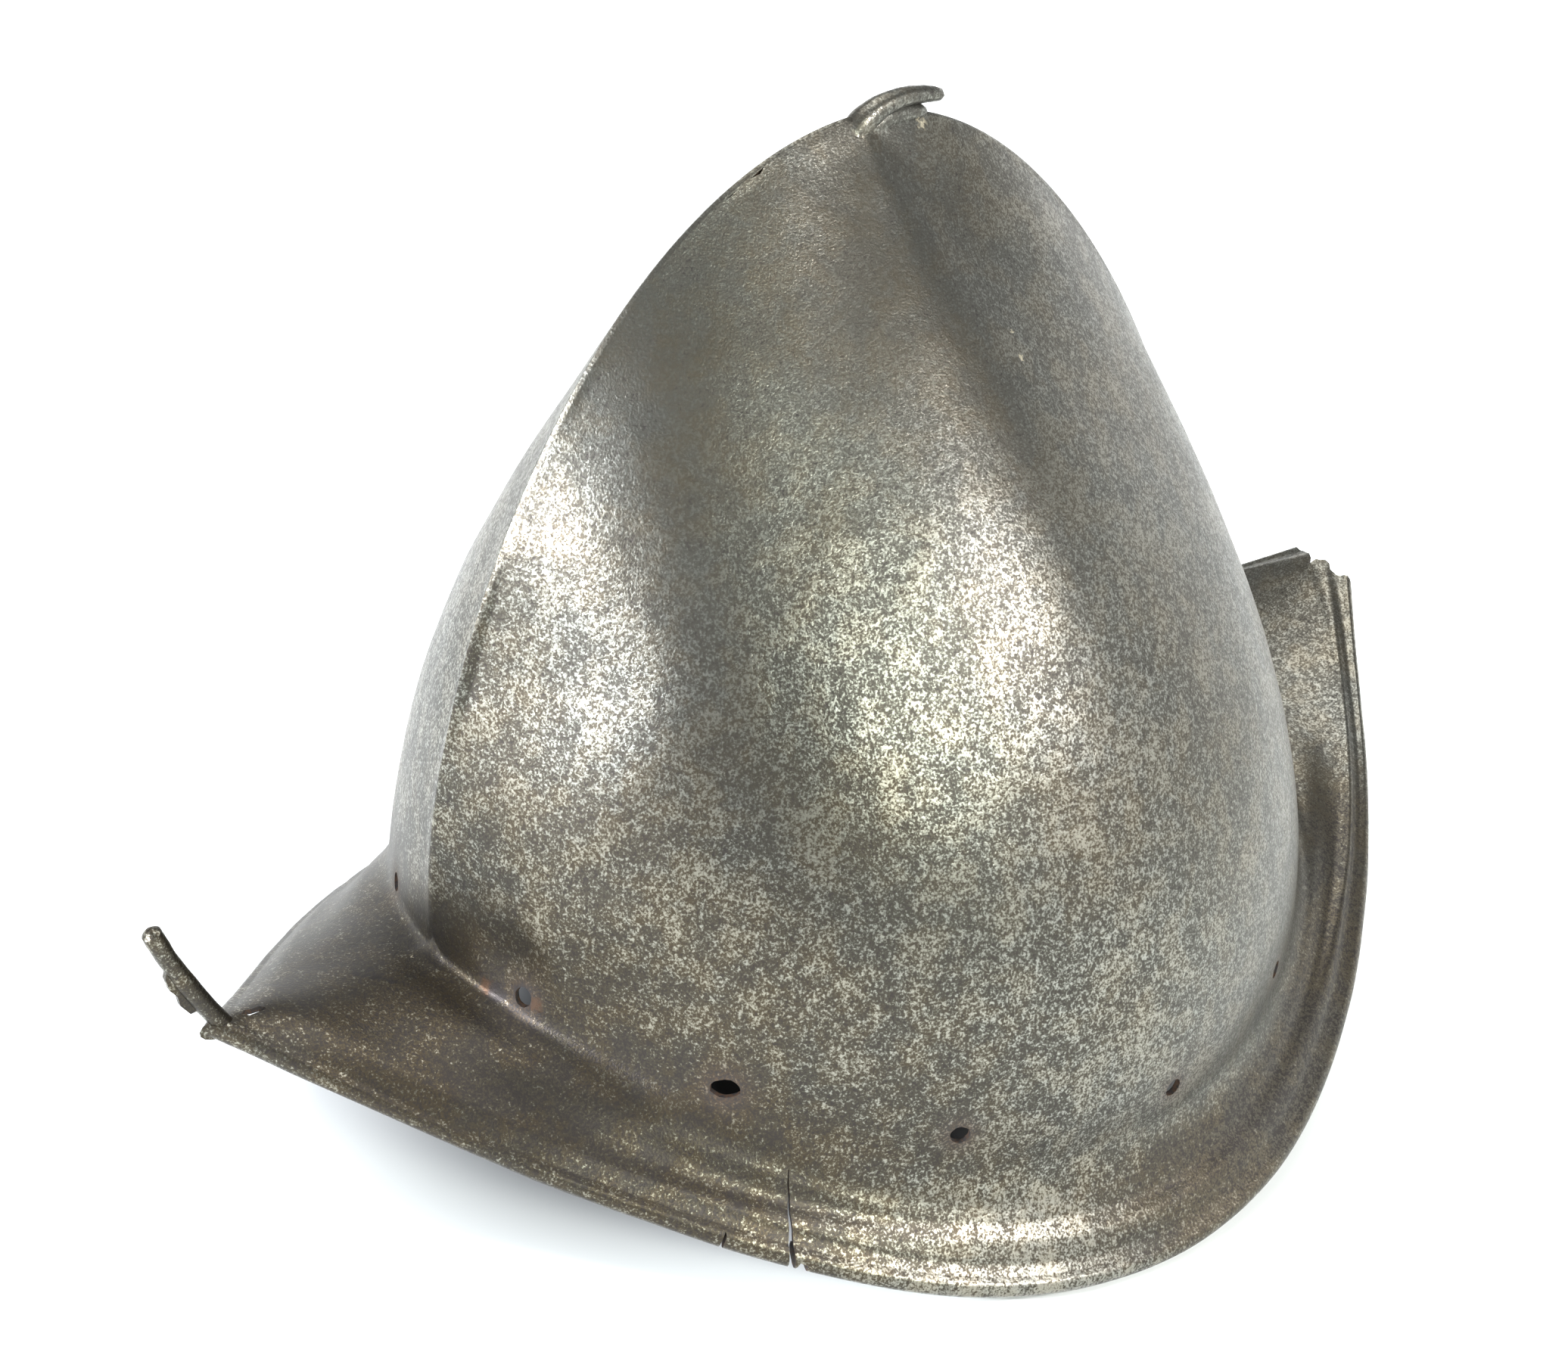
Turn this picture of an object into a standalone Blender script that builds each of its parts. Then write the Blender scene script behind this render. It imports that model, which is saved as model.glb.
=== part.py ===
"""Cabasset: a pointed helmet forged from one steel plate, with a keeled skull and a peaked brim.

The front is at -Y and the wearer's left at +X. The helmet stands on its rolled edge as it would
by itself, with the middle of its footprint at the origin.
"""

import math

import bmesh
import bpy
import numpy as np
from mathutils import Matrix, Vector

MM = 0.001

# Skull, measured at the crease where it turns into the brim. Reaches run from the widest station.
SKULL_FRONT = 123.6 * MM
SKULL_REAR = 118.2 * MM
SKULL_WIDTH = 217.2 * MM
SKULL_HEIGHT = 212.7 * MM  # crease at the sides up to the apex
APEX_FORWARD = 10.9 * MM
CREASE_RISE_FRONT = 36.7 * MM
CREASE_RISE_REAR = 33.3 * MM
CREASE_REACH = 8 * MM  # length of the rounded turn on each side of the crease
KEEL_SHARPNESS = 0.19
WALL = 1.4 * MM

# Brim, with its rolled edge
BRIM_WIDTH = 248.2 * MM
BRIM_FRONT = 181 * MM  # to the front point
BRIM_REAR = 178.8 * MM  # to where the rear point was
BRIM_DROP = 24.5 * MM  # edge at the sides below the crease
POINT_RISE_FRONT = 66.8 * MM  # front point above the edge at the sides
POINT_RISE_REAR = 87.4 * MM
RIDGE_HEIGHT = 1.5 * MM
BEAD_RADIUS = 2.7 * MM

# Stalk at the apex, drawn out of the plate and bent back
STALK_LENGTH = 24.6 * MM
STALK_RISE = 3.2 * MM
STALK_THICKNESS = 4.4 * MM

# Broken end of the rolled edge, sprung up from the front point
SPRUNG_LENGTH = 32 * MM
SPRUNG_RADIUS = 2.4 * MM
SPRUNG_SLOPE = math.radians(64)

# Damage
LINING_HOLE = 5.4 * MM
LINING_HOLE_HEIGHT = 14 * MM  # above the crease
WORN_HOLE_LENGTH = 7.6 * MM
CRACK_WIDTH = 1.8 * MM  # at the edge
CRACK_LENGTH = 20 * MM
SLOT_LENGTH = 5.5 * MM
SLOT_WIDTH = 2.2 * MM
BREAK_DEPTH = 14 * MM  # lost from the rear point
BREAK_WIDTH = 22 * MM
DENT_DEPTH = 2.2 * MM  # of the deepest dent

CREASE_BEND = 2.16  # how late the crease rises towards the front and rear
CROWN_BEND = 3.68  # and how late the rings round the upper skull do
UPPER_SKULL = 0.6  # share of the way up where the keel is sharp
APEX_INSET = 1.7  # the wall is steep at the apex, so its inner face lies lower there

# Rolled edge: how late it rises to its points, and how full it is seen from above
EDGE_BEND_FRONT = 1.705
EDGE_BEND_REAR = 1.794
EDGE_FULLNESS = 2.157
EDGE_TAPER = 1.137

COLUMNS = 80
CROWN_ROWS = 15
ROD_SIDES = 10
STEP = 0.01  # for slopes along the skull and the edge
KEPT_SIDE = 0.25  # least share of its guide's distance from the middle plane that a point keeps
MITRE_LIMIT = 0.6
SHARPEST = math.radians(40)
MOST_PITCH = math.radians(20)
STEEL = dict(colour=(0.19, 0.17, 0.145), roughness=0.42, metallic=0.9)

# Outline of the skull seen from the side and from the front, each a cubic curve: lean of its foot
# from upright, foot handle as a share of the height, slope at the apex below level, and apex
# handle as a share of half the length or width
OUTLINES = {
    # name: (lean in degrees, foot handle, slope in degrees, apex handle)
    "front": (2.1, 0.347, 4.2, 0.542),
    "rear": (5.1, 0.246, -3.2, 0.590),
    "side": (12.2, 0.395, 48.0, 0.772),
}

# How the plate of the brim swells and dips from the crease to the rolled edge
BRIM_SWELL = (
    # (share of the way out, share of the ridge's height)
    (0.22, -0.75),
    (0.42, -0.25),
    (0.60, 1.0),
    (0.80, -0.35),
)

# Section of the rolled edge: angles round the bead, from the plate's top over the rim to its underside
BEAD_ANGLES = (131, 95, 55, 15, -25, -65, -105, -145, -196)
BEAD_SINK = 0.5  # how far its middle lies below the plate, as a share of its radius

# Lining-rivet holes along each side
HOLE_STATIONS = (-0.95, -0.744, -0.403, 0.055, 0.44, 0.75, 0.95)
WORN_STATION = 1
CRACK_STATION = -0.502

# Dents in the skull: place, and how far each reaches and sinks
DENTS = (
    # (side, share of the way up, station, reach as a share of the skull's front, share of the depth)
    (1, 0.077, -0.85, 0.21, 1.0),
    (1, 0.062, -0.953, 0.10, 0.59),
    (1, 0.324, -0.956, 0.27, 0.73),
)

# The ragged end at the rear, from the wearer's left to right
REAR_BREAK = (
    # (share of half the broken width, share of its depth that is lost)
    (3.0, 0.85),
    (0.96, 0.85),
    (0.52, 0.99),
    (0.23, 0.91),
    (0.05, 1.01),
    (0.0, 1.19),
    (-0.56, 0.86),
    (-1.02, 0.74),
    (-3.0, 0.70),
)

# The hole torn just inside the front point
TORN_SLOT = (
    # (share of half its width, share of half its length)
    (-1, -0.7),
    (0.6, -1),
    (1, 0.5),
    (0, 1),
    (-1, 0.6),
)
SLOT_FROM_EDGE = 2.2  # radii of the rolled edge from its limit to the hole
CRACK_TIP = 0.3  # width at its closed end, as a share of its width at the edge

# Path of the stalk from the apex
STALK_STEPS = (
    # (share of its length back, share of its rise, share of half its thickness)
    (-0.06, -1.6, 1.7),
    (0.14, 0.1, 1.5),
    (0.34, 0.7, 1.2),
    (0.57, 0.95, 1.0),
    (0.80, 0.85, 0.8),
    (0.93, 0.68, 0.62),
    (1.0, 0.5, 0.3),
)

# The lap folded under it
LAP_STEPS = (
    (0.05, -0.9, 1.3),
    (0.40, -0.25, 1.1),
    (0.66, -0.25, 0.8),
    (0.77, -0.35, 0.5),
)

# Path of the sprung end from the front point
SPRUNG_STEPS = (
    # (share of its length, share of its radius, bow as a share of its radius)
    (-0.10, 0.8, 0.5),
    (0.0, 0.95, 0.3),
    (0.3, 1.0, 0.0),
    (0.65, 0.97, 0.1),
    (0.95, 0.93, 0.4),
    (1.0, 0.6, 0.5),
)


def unit(vector):
    return vector / np.linalg.norm(vector)


def cubic(a, b, c, d, share):
    rest = 1 - share
    return rest**3 * a + 3 * rest**2 * share * b + 3 * rest * share**2 * c + share**3 * d


def outline(name, share, inset):
    """Distance out from the middle, and height, a share of the way up one outline of the skull."""
    lean, foot_handle, slope, apex_handle = OUTLINES[name]
    lean, slope = math.radians(lean), math.radians(slope)
    half = {"front": SKULL_FRONT, "rear": SKULL_REAR, "side": SKULL_WIDTH / 2}[name]
    forward = {"front": APEX_FORWARD, "rear": -APEX_FORWARD, "side": 0.0}[name]
    rise = {"front": CREASE_RISE_FRONT, "rear": CREASE_RISE_REAR, "side": 0.0}[name]
    foot = np.array([half - inset, rise])
    apex = np.array([forward, SKULL_HEIGHT - APEX_INSET * inset])
    foot_arm = foot_handle * SKULL_HEIGHT * np.array([math.sin(lean), math.cos(lean)])
    apex_arm = apex_handle * half * np.array([math.cos(slope), -math.sin(slope)])
    return cubic(foot, foot + foot_arm, apex + apex_arm, apex, share)


def oval(station, keel):
    """Half-width share at a station from -1 to 1: an ellipse with no keel, and two arcs with a sharp one."""
    return (math.sqrt(max(1 - station**2, 0) + keel) - math.sqrt(keel)) / (
        math.sqrt(1 + keel) - math.sqrt(keel)
    )


def skull_point(rise, turn, inset=0.0):
    """Point a share of the way up the skull, turned from the front through the wearer's left."""
    station = -math.cos(turn)
    side = math.copysign(1, math.sin(turn))
    front, rear, flank = (outline(name, rise, inset) for name in ("front", "rear", "side"))
    middle, half = (rear[0] - front[0]) / 2, (rear[0] + front[0]) / 2
    end_height = front[1] if station < 0 else rear[1]
    upper = min(1, rise / UPPER_SKULL)
    bend = CREASE_BEND + (CROWN_BEND - CREASE_BEND) * upper
    return np.array(
        [
            side * flank[0] * oval(station, KEEL_SHARPNESS * upper),
            middle + half * station,
            flank[1] + (end_height - flank[1]) * abs(station) ** bend,
        ]
    )


def skull_normal(rise, turn):
    up = skull_point(rise + STEP, turn) - skull_point(rise, turn)
    along = skull_point(rise, turn + STEP) - skull_point(rise, turn - STEP)
    return unit(np.cross(along, up))


def edge_point(turn):
    """Outer limit of the rolled edge at a turn from the front."""
    station = -math.cos(turn)
    side = math.copysign(1, math.sin(turn))
    forward = station < 0
    reach = BRIM_FRONT if forward else BRIM_REAR
    rise = POINT_RISE_FRONT if forward else POINT_RISE_REAR
    bend = EDGE_BEND_FRONT if forward else EDGE_BEND_REAR
    across = max(1 - abs(station) ** EDGE_FULLNESS, 0) ** EDGE_TAPER
    return np.array(
        [
            side * BRIM_WIDTH / 2 * across,
            reach * station,
            rise * abs(station) ** bend - BRIM_DROP,
        ]
    )


def brim_point(share, turn):
    """Point on the straight line from the crease, at 0, to the limit of the rolled edge, at 1."""
    crease = skull_point(0, turn)
    return crease + share * (edge_point(turn) - crease)


def brim_up(share, turn):
    """Direction square to the brim on its upper side."""
    along = brim_point(share, turn + STEP) - brim_point(share, turn - STEP)
    return unit(np.cross(edge_point(turn) - skull_point(0, turn), along))


def brim_frame(turn):
    """Directions outwards and upwards at the edge, and how much the rolled edge stretches in a mitre."""
    out, up = unit(edge_point(turn) - skull_point(0, turn)), brim_up(1, turn)
    step = math.pi / COLUMNS
    square = unit(np.cross(edge_point(turn + step) - edge_point(turn + step / 10), up))
    return out, up, 1 / max(abs(float(out @ square)), MITRE_LIMIT)


def same_side(point, guide):
    """The point, kept from crossing the middle plane where both halves of the helmet come together."""
    least = KEPT_SIDE * abs(guide[0])
    if point[0] * math.copysign(1, guide[0]) < least:
        point[0] = math.copysign(least, guide[0])
    return point


def turned(above, crease, below):
    """Rounded turn from the skull to the brim."""
    return [
        (1 - share) ** 2 * above + 2 * share * (1 - share) * crease + share**2 * below
        for share in (0, 1 / 3, 2 / 3, 1)
    ]


def outer_rows(turn, bead):
    """Points down one column of the outer face, from below the apex to the rolled edge."""
    crown = [skull_point(1 - row / CROWN_ROWS, turn) for row in range(1, CROWN_ROWS)]
    crease = skull_point(0, turn)
    above = crease + CREASE_REACH * unit(skull_point(STEP, turn) - crease)
    below = crease + CREASE_REACH * unit(edge_point(turn) - crease)
    plate = [
        below + share * (bead[0] - below) + swell * RIDGE_HEIGHT * brim_up(share, turn)
        for share, swell in BRIM_SWELL
    ]
    return crown + turned(above, crease, below) + plate


def inner_rows(turn, outer):
    """The inner face's points, each opposite one of the outer face."""
    crown = [skull_point(1 - row / CROWN_ROWS, turn, WALL) for row in range(1, CROWN_ROWS)]
    crease = skull_point(0, turn)
    wall_out, brim_out = skull_normal(STEP, turn), brim_up(0, turn)
    inset = WALL * (wall_out + brim_out) / (1 + wall_out @ brim_out)
    above, below = outer[len(crown)], outer[len(crown) + 3]
    plate = [
        point - WALL * brim_up(share, turn)
        for point, (share, _) in zip(outer[len(crown) + 4 :], BRIM_SWELL)
    ]
    rows = crown + turned(above - inset, crease - inset, below - inset) + plate
    return [same_side(point, guide) for point, guide in zip(rows, outer)]


def bead_points(turn):
    """Section of the rolled edge, from the plate's top over the rim and back under the plate."""
    edge = edge_point(turn)
    out, up, stretch = brim_frame(turn)
    middle = edge - BEAD_RADIUS * (stretch * out + BEAD_SINK * up)
    angles = [math.radians(angle) for angle in BEAD_ANGLES]
    return [
        same_side(
            middle + BEAD_RADIUS * (math.cos(angle) * stretch * out + math.sin(angle) * up), edge
        )
        for angle in angles
    ]


def face_normals(grid):
    """Normals of the outer face, where each column of the grid meets each row."""
    across = np.roll(grid, -1, axis=0) - np.roll(grid, 1, axis=0)
    down = np.gradient(grid, axis=1)
    normals = np.cross(down, across)
    return normals / np.linalg.norm(normals, axis=2, keepdims=True)


def dent_shifts(grid):
    """How far each point of the outer face is pushed by the dents, which fade out smoothly."""
    normals = face_normals(grid)
    shifts = np.zeros_like(grid)
    for side, rise, station, cover, sunk in DENTS:
        place = skull_point(rise, side * math.acos(-station))
        distance = np.linalg.norm(grid - place, axis=2) / (cover * SKULL_FRONT)
        fade = np.where(distance < 1, (1 - np.minimum(distance, 1) ** 2) ** 2, 0)
        shifts -= (sunk * DENT_DEPTH * fade)[..., None] * normals
    return shifts


def shell_mesh():
    """The whole helmet as one closed skin: outer face, rolled edge and inner face."""
    turns = [2 * math.pi * column / COLUMNS for column in range(COLUMNS)]
    bead = np.array([bead_points(turn) for turn in turns])
    outer = np.array([outer_rows(turn, rim) for turn, rim in zip(turns, bead)])
    inner = np.array([inner_rows(turn, column) for turn, column in zip(turns, outer)])
    shifts = dent_shifts(outer)
    grid = np.concatenate([outer + shifts, bead, (inner + shifts)[:, ::-1]], axis=1)

    mesh = bmesh.new()
    verts = [[mesh.verts.new(point) for point in column] for column in grid]
    apex = skull_point(1, 0)
    top = mesh.verts.new(apex)
    underside = mesh.verts.new(skull_point(1, 0, WALL))
    for column in range(COLUMNS):
        here, after = verts[column], verts[(column + 1) % COLUMNS]
        mesh.faces.new((top, here[0], after[0]))
        mesh.faces.new((underside, after[-1], here[-1]))
        for row in range(len(here) - 1):
            mesh.faces.new((here[row], here[row + 1], after[row + 1], after[row]))
    bmesh.ops.recalc_face_normals(mesh, faces=mesh.faces)
    return mesh


def add_object(name, mesh):
    data = bpy.data.meshes.new(name)
    mesh.to_mesh(data)
    mesh.free()
    item = bpy.data.objects.new(name, data)
    bpy.context.scene.collection.objects.link(item)
    return item


def helper(name, mesh):
    item = add_object(name, mesh)
    item.hide_render = True
    item.display_type = "WIRE"
    return item


def circle(sides=ROD_SIDES):
    """Corners of a regular outline of radius 1."""
    turns = [2 * math.pi * side / sides for side in range(sides)]
    return [(math.cos(turn), math.sin(turn)) for turn in turns]


def rod_mesh(path, radii):
    """A closed rod along a path in the helmet's middle plane."""
    mesh = bmesh.new()
    rings = []
    path = [Vector(point) for point in path]
    for place, (point, radius) in enumerate(zip(path, radii)):
        ahead = path[min(place + 1, len(path) - 1)] - path[max(place - 1, 0)]
        across = Vector((1, 0, 0))
        lift = ahead.cross(across).normalized()
        rings.append([mesh.verts.new(point + radius * (x * across + y * lift)) for x, y in circle()])
    for ring, following in zip(rings, rings[1:]):
        for side in range(ROD_SIDES):
            beside = (side + 1) % ROD_SIDES
            mesh.faces.new((ring[side], ring[beside], following[beside], following[side]))
    mesh.faces.new(rings[0])
    mesh.faces.new(rings[-1])
    bmesh.ops.recalc_face_normals(mesh, faces=mesh.faces)
    return mesh


def stalk(steps):
    """The stub at the apex, or the lap under it: it leaves the plate and leans back."""
    foot = skull_point(1, 0)
    path = [foot + np.array([0, back * STALK_LENGTH, lift * STALK_RISE]) for back, lift, _ in steps]
    return rod_mesh(path, [share * STALK_THICKNESS / 2 for _, _, share in steps])


def sprung_end():
    """The rolled edge's broken end, which rises from the front point."""
    out, _, stretch = brim_frame(0)
    foot = edge_point(0) - BEAD_RADIUS * stretch * out
    along = np.array([0, -math.cos(SPRUNG_SLOPE), math.sin(SPRUNG_SLOPE)])
    back = np.array([0, math.sin(SPRUNG_SLOPE), math.cos(SPRUNG_SLOPE)])
    path = [
        foot + share * SPRUNG_LENGTH * along + bow * SPRUNG_RADIUS * back
        for share, _, bow in SPRUNG_STEPS
    ]
    return rod_mesh(path, [share * SPRUNG_RADIUS for _, share, _ in SPRUNG_STEPS])


def prism(centre, across, outward, outline_points, depth):
    """A prism cutter: an outline drawn on two directions of the plate, run through it both ways."""
    centre, across, outward = (Vector(vector) for vector in (centre, across, outward))
    through = across.cross(outward).normalized()
    mesh = bmesh.new()
    low, high = [
        [
            mesh.verts.new(centre + x * across + y * outward + shift * through)
            for x, y in outline_points
        ]
        for shift in (-depth, depth)
    ]
    count = len(outline_points)
    for corner in range(count):
        following = (corner + 1) % count
        mesh.faces.new((low[corner], low[following], high[following], high[corner]))
    mesh.faces.new(low)
    mesh.faces.new(high)
    bmesh.ops.recalc_face_normals(mesh, faces=mesh.faces)
    return mesh


def lining_holes():
    """A cutter for each lining-rivet hole round the foot of the skull."""
    cutters = []
    for side in (1, -1):
        for number, station in enumerate(HOLE_STATIONS):
            turn = side * math.acos(-station)
            climb = np.linalg.norm(skull_point(STEP, turn) - skull_point(0, turn)) / STEP
            rise = LINING_HOLE_HEIGHT / climb
            up = unit(skull_point(rise + STEP, turn) - skull_point(rise, turn))
            across = unit(np.cross(skull_normal(rise, turn), up))
            worn = side == 1 and number == WORN_STATION
            length = WORN_HOLE_LENGTH if worn else LINING_HOLE
            hole = [(length / 2 * x, LINING_HOLE / 2 * y) for x, y in circle()]
            cutters.append(prism(skull_point(rise, turn), across, up, hole, 4 * WALL))
    return cutters


def edge_crack():
    """The crack that opens towards the rolled edge."""
    turn = math.acos(-CRACK_STATION)
    along = unit(edge_point(turn + STEP) - edge_point(turn - STEP))
    outward = np.cross(along, brim_up(1, turn))
    beyond = 2 * BEAD_RADIUS
    tip, mouth = CRACK_TIP * CRACK_WIDTH / 2, (1 + beyond / CRACK_LENGTH) * CRACK_WIDTH / 2
    wedge = [(-tip, -CRACK_LENGTH), (tip, -CRACK_LENGTH), (mouth, beyond), (-mouth, beyond)]
    return prism(edge_point(turn), along, outward, wedge, 4 * BEAD_RADIUS)


def front_slot():
    """The hole torn through the plate just inside the front point."""
    torn = [(x * SLOT_WIDTH / 2, y * SLOT_LENGTH / 2) for x, y in TORN_SLOT]
    out, _, stretch = brim_frame(0)
    inwards = SLOT_FROM_EDGE * BEAD_RADIUS * stretch + SLOT_LENGTH / 2
    return prism(edge_point(0) - inwards * out, (1, 0, 0), out, torn, 4 * BEAD_RADIUS)


def rear_break():
    """The lost rear point, as a cutter drawn from above."""
    half = BREAK_WIDTH / 2
    edge = [(across * half, BRIM_REAR - lost * BREAK_DEPTH) for across, lost in REAR_BREAK]
    beyond = BRIM_REAR + BREAK_DEPTH
    points = edge + [(edge[-1][0], beyond), (edge[0][0], beyond)]
    height = edge_point(math.pi)[2]
    return prism((0, 0, height), (1, 0, 0), (0, 1, 0), points, POINT_RISE_REAR / 2)


def combine(body, others, operation):
    for number, other in enumerate(others):
        modifier = body.modifiers.new(f"{operation.lower()} {number}", "BOOLEAN")
        modifier.operation = operation
        modifier.solver = "EXACT"
        modifier.object = other


def settle(item):
    """Tips the helmet to where its weight lies over the lowest part of the rolled edge."""
    graph = bpy.context.evaluated_depsgraph_get()
    evaluated = item.evaluated_get(graph)
    mesh = bmesh.new()
    mesh.from_mesh(evaluated.to_mesh())
    evaluated.to_mesh_clear()
    bmesh.ops.triangulate(mesh, faces=mesh.faces)
    points = np.array([vert.co for vert in mesh.verts])
    corners = np.array([[vert.index for vert in face.verts] for face in mesh.faces])
    a, b, c = (points[corners[:, k]] for k in range(3))
    volume = np.einsum("ij,ij->i", a, np.cross(b, c)) / 6
    weight = (volume[:, None] * (a + b + c) / 4).sum(axis=0) / volume.sum()

    def overhang(pitch):
        turn = np.array(Matrix.Rotation(pitch, 3, "X"))
        turned = points @ turn.T
        lowest = turned[turned[:, 2].argmin()]
        return (turn @ weight)[1] - lowest[1]

    low, high = -MOST_PITCH, MOST_PITCH
    for _ in range(40):
        middle = (low + high) / 2
        if overhang(low) * overhang(middle) <= 0:
            high = middle
        else:
            low = middle
    bmesh.ops.transform(mesh, matrix=Matrix.Rotation(middle, 4, "X"), verts=mesh.verts)
    points = np.array([vert.co for vert in mesh.verts])
    base = (points.min(axis=0) + points.max(axis=0)) / 2
    base[2] = points[:, 2].min()
    bmesh.ops.translate(mesh, vec=-base, verts=mesh.verts)
    return mesh


def steel():
    material = bpy.data.materials.new("patinated_steel")
    material.use_nodes = True
    shader = material.node_tree.nodes["Principled BSDF"]
    shader.inputs["Base Color"].default_value = (*STEEL["colour"], 1)
    shader.inputs["Roughness"].default_value = STEEL["roughness"]
    shader.inputs["Metallic"].default_value = STEEL["metallic"]
    return material


def main():
    for item in list(bpy.data.objects):
        bpy.data.objects.remove(item)
    shell = helper("shell_stock", shell_mesh())
    additions = [
        helper("stalk_stock", stalk(STALK_STEPS)),
        helper("lap_stock", stalk(LAP_STEPS)),
        helper("sprung_stock", sprung_end()),
    ]
    combine(shell, additions, "UNION")
    cuts = [*lining_holes(), edge_crack(), front_slot(), rear_break()]
    cutters = [helper(f"cutter_{number}", mesh) for number, mesh in enumerate(cuts)]
    combine(shell, cutters, "DIFFERENCE")
    helmet = add_object("helmet_shell", settle(shell))
    helmet.data.materials.append(steel())
    helmet.data.shade_smooth()
    helmet.data.set_sharp_from_angle(angle=SHARPEST)


main()
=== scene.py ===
"""Cabasset: a pointed steel helmet with a keel, a stalk at its apex and a peaked brim.

The skull, brim and rolled edge are one plate, so they are made as one closed mesh in the helmet's
own axes: front at -Y, wearer's left at +X, crease at the sides at height 0. The finished helmet is
then tipped and lifted to where it stands on the floor.
"""

import math

import bmesh
import bpy
import numpy as np
from bpy.props import FloatProperty, FloatVectorProperty, PointerProperty
from mathutils import Matrix, Quaternion, Vector, noise


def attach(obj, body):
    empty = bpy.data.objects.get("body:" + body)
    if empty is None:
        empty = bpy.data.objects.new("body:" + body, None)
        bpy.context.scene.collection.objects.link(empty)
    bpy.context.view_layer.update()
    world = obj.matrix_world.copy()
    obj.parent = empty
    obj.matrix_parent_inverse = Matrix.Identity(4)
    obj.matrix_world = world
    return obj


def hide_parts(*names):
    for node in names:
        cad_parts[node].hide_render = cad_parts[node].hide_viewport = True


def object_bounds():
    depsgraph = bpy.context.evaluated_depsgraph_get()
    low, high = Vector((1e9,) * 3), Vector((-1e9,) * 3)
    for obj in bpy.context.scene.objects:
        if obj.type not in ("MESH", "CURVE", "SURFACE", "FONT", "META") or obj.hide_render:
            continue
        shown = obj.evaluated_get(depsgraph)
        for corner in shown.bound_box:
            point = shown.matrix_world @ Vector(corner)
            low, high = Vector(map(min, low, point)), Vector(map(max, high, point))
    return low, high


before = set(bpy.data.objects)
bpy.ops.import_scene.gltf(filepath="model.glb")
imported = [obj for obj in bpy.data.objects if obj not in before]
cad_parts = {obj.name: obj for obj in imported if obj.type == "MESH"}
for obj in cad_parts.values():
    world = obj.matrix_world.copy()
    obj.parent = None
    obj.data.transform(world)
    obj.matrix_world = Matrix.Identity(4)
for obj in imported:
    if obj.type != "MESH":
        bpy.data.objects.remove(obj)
cad_low, cad_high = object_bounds()

bl_info = {
    "name": "Cabasset",
    "version": (1, 0, 0),
    "blender": (4, 5, 0),
    "location": "3D View > Sidebar > Cabasset",
    "description": "A pointed helmet forged from one steel plate, with its wear and patina",
    "category": "Object",
}

# Outline of the skull from the front, rear and side, each a cubic curve: lean of its foot from
# upright, foot handle as a share of the height, slope at the apex below level, and apex handle
# as a share of half the length or width
OUTLINES = {
    "front": (2.1, 0.347, 4.2, 0.542),
    "rear": (5.1, 0.246, -3.2, 0.590),
    "side": (12.2, 0.395, 48.0, 0.772),
}
CREASE_BEND = 2.16
CROWN_BEND = 3.68
UPPER_SKULL = 0.6  # share of the way up where the crown's bend and keel are complete
APEX_INSET = 1.7  # thickness at the apex, in thicknesses of the plate
EDGE_BEND_FRONT = 1.705
EDGE_BEND_REAR = 1.794
EDGE_FULLNESS = 2.157
EDGE_TAPER = 1.137

# Fineness of the mesh
COLUMNS = 360
FIRST_TURN = 0.055  # from the middle plane to the first column beside it
CROWN_ROWS = 100
TURN_ROWS = 8
PLATE_ROWS = 26
BEAD_ROWS = 14
UNDERSIDE_ROWS = 10
HOLLOW_ROWS = 44
STEP = 0.01  # for slopes, in turn or in share of the way up
KEPT_SIDE = 0.25  # least share of its distance from the middle plane that a moved point keeps
MITRE_LIMIT = 0.6
BEAD_FROM, BEAD_TO = math.radians(131), math.radians(-196)
BEAD_SINK = 0.5  # of the rolled edge's middle below the plate, in radii
BEAD_CLEAR = 1.1  # where the underside stops, in radii of the rolled edge
WELD = 1e-7

# Form of the brim's plate: sag, ridge and groove as shares of the ridge's height, their reaches and
# the groove's place as shares of the ridge's place, and the stations between which they begin
SAG, SAG_RUN = 0.75, 1.4
RIDGE, RIDGE_REACH = 0.9, 0.42
GROOVE, GROOVE_REACH, GROOVE_PLACE = 0.25, 0.24, 0.33
RIDGE_BEGINS = (-0.8, -0.3)

# Unevenness of the plate: hammer marks as share of their depth, length of a wave and seed, the
# distances from the keel between which they begin, and the drift of the whole form
HAMMER_MARKS = ((1.0, 0.026, 3.1), (0.5, 0.011, 11.7))
CALM_KEEL = (0.0003, 0.002)
DRIFT, DRIFT_WAVE, DRIFT_SEEDS = 0.0006, 0.07, (21.3, 42.9, 63.4)

# The pinched keel is full this far above a line that climbs with the crease along the helmet
CREASE_CLIMB, PINCH_BEGINS = 0.25, 0.03

# Dents: side, share of the way up, station, reach as a share of the skull's front, share of depth
DENTS = (
    (1, 0.077, -0.85, 0.21, 1.0),
    (1, 0.062, -0.953, 0.10, 0.59),
    (1, 0.324, -0.956, 0.27, 0.73),
)
HOLE_STATIONS = (-0.95, -0.744, -0.403, 0.055, 0.44, 0.75, 0.95)
WORN_STATION = 1
HOLE_CORNERS = 16
HOLE_RAGGED, WORN_HOLE_RAGGED, RAGGED_WAVES = 0.12, 0.2, 3
THROUGH = 4  # how far a cutter reaches each way, in thicknesses or radii of what it cuts
CRACK_STATION = -0.502
CRACK_LEAN = -0.3
NICKS = ((-0.569, 0.33, 1.4), (-0.491, 1.2, 0.55))  # station, shares of crack width and edge radius

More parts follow.
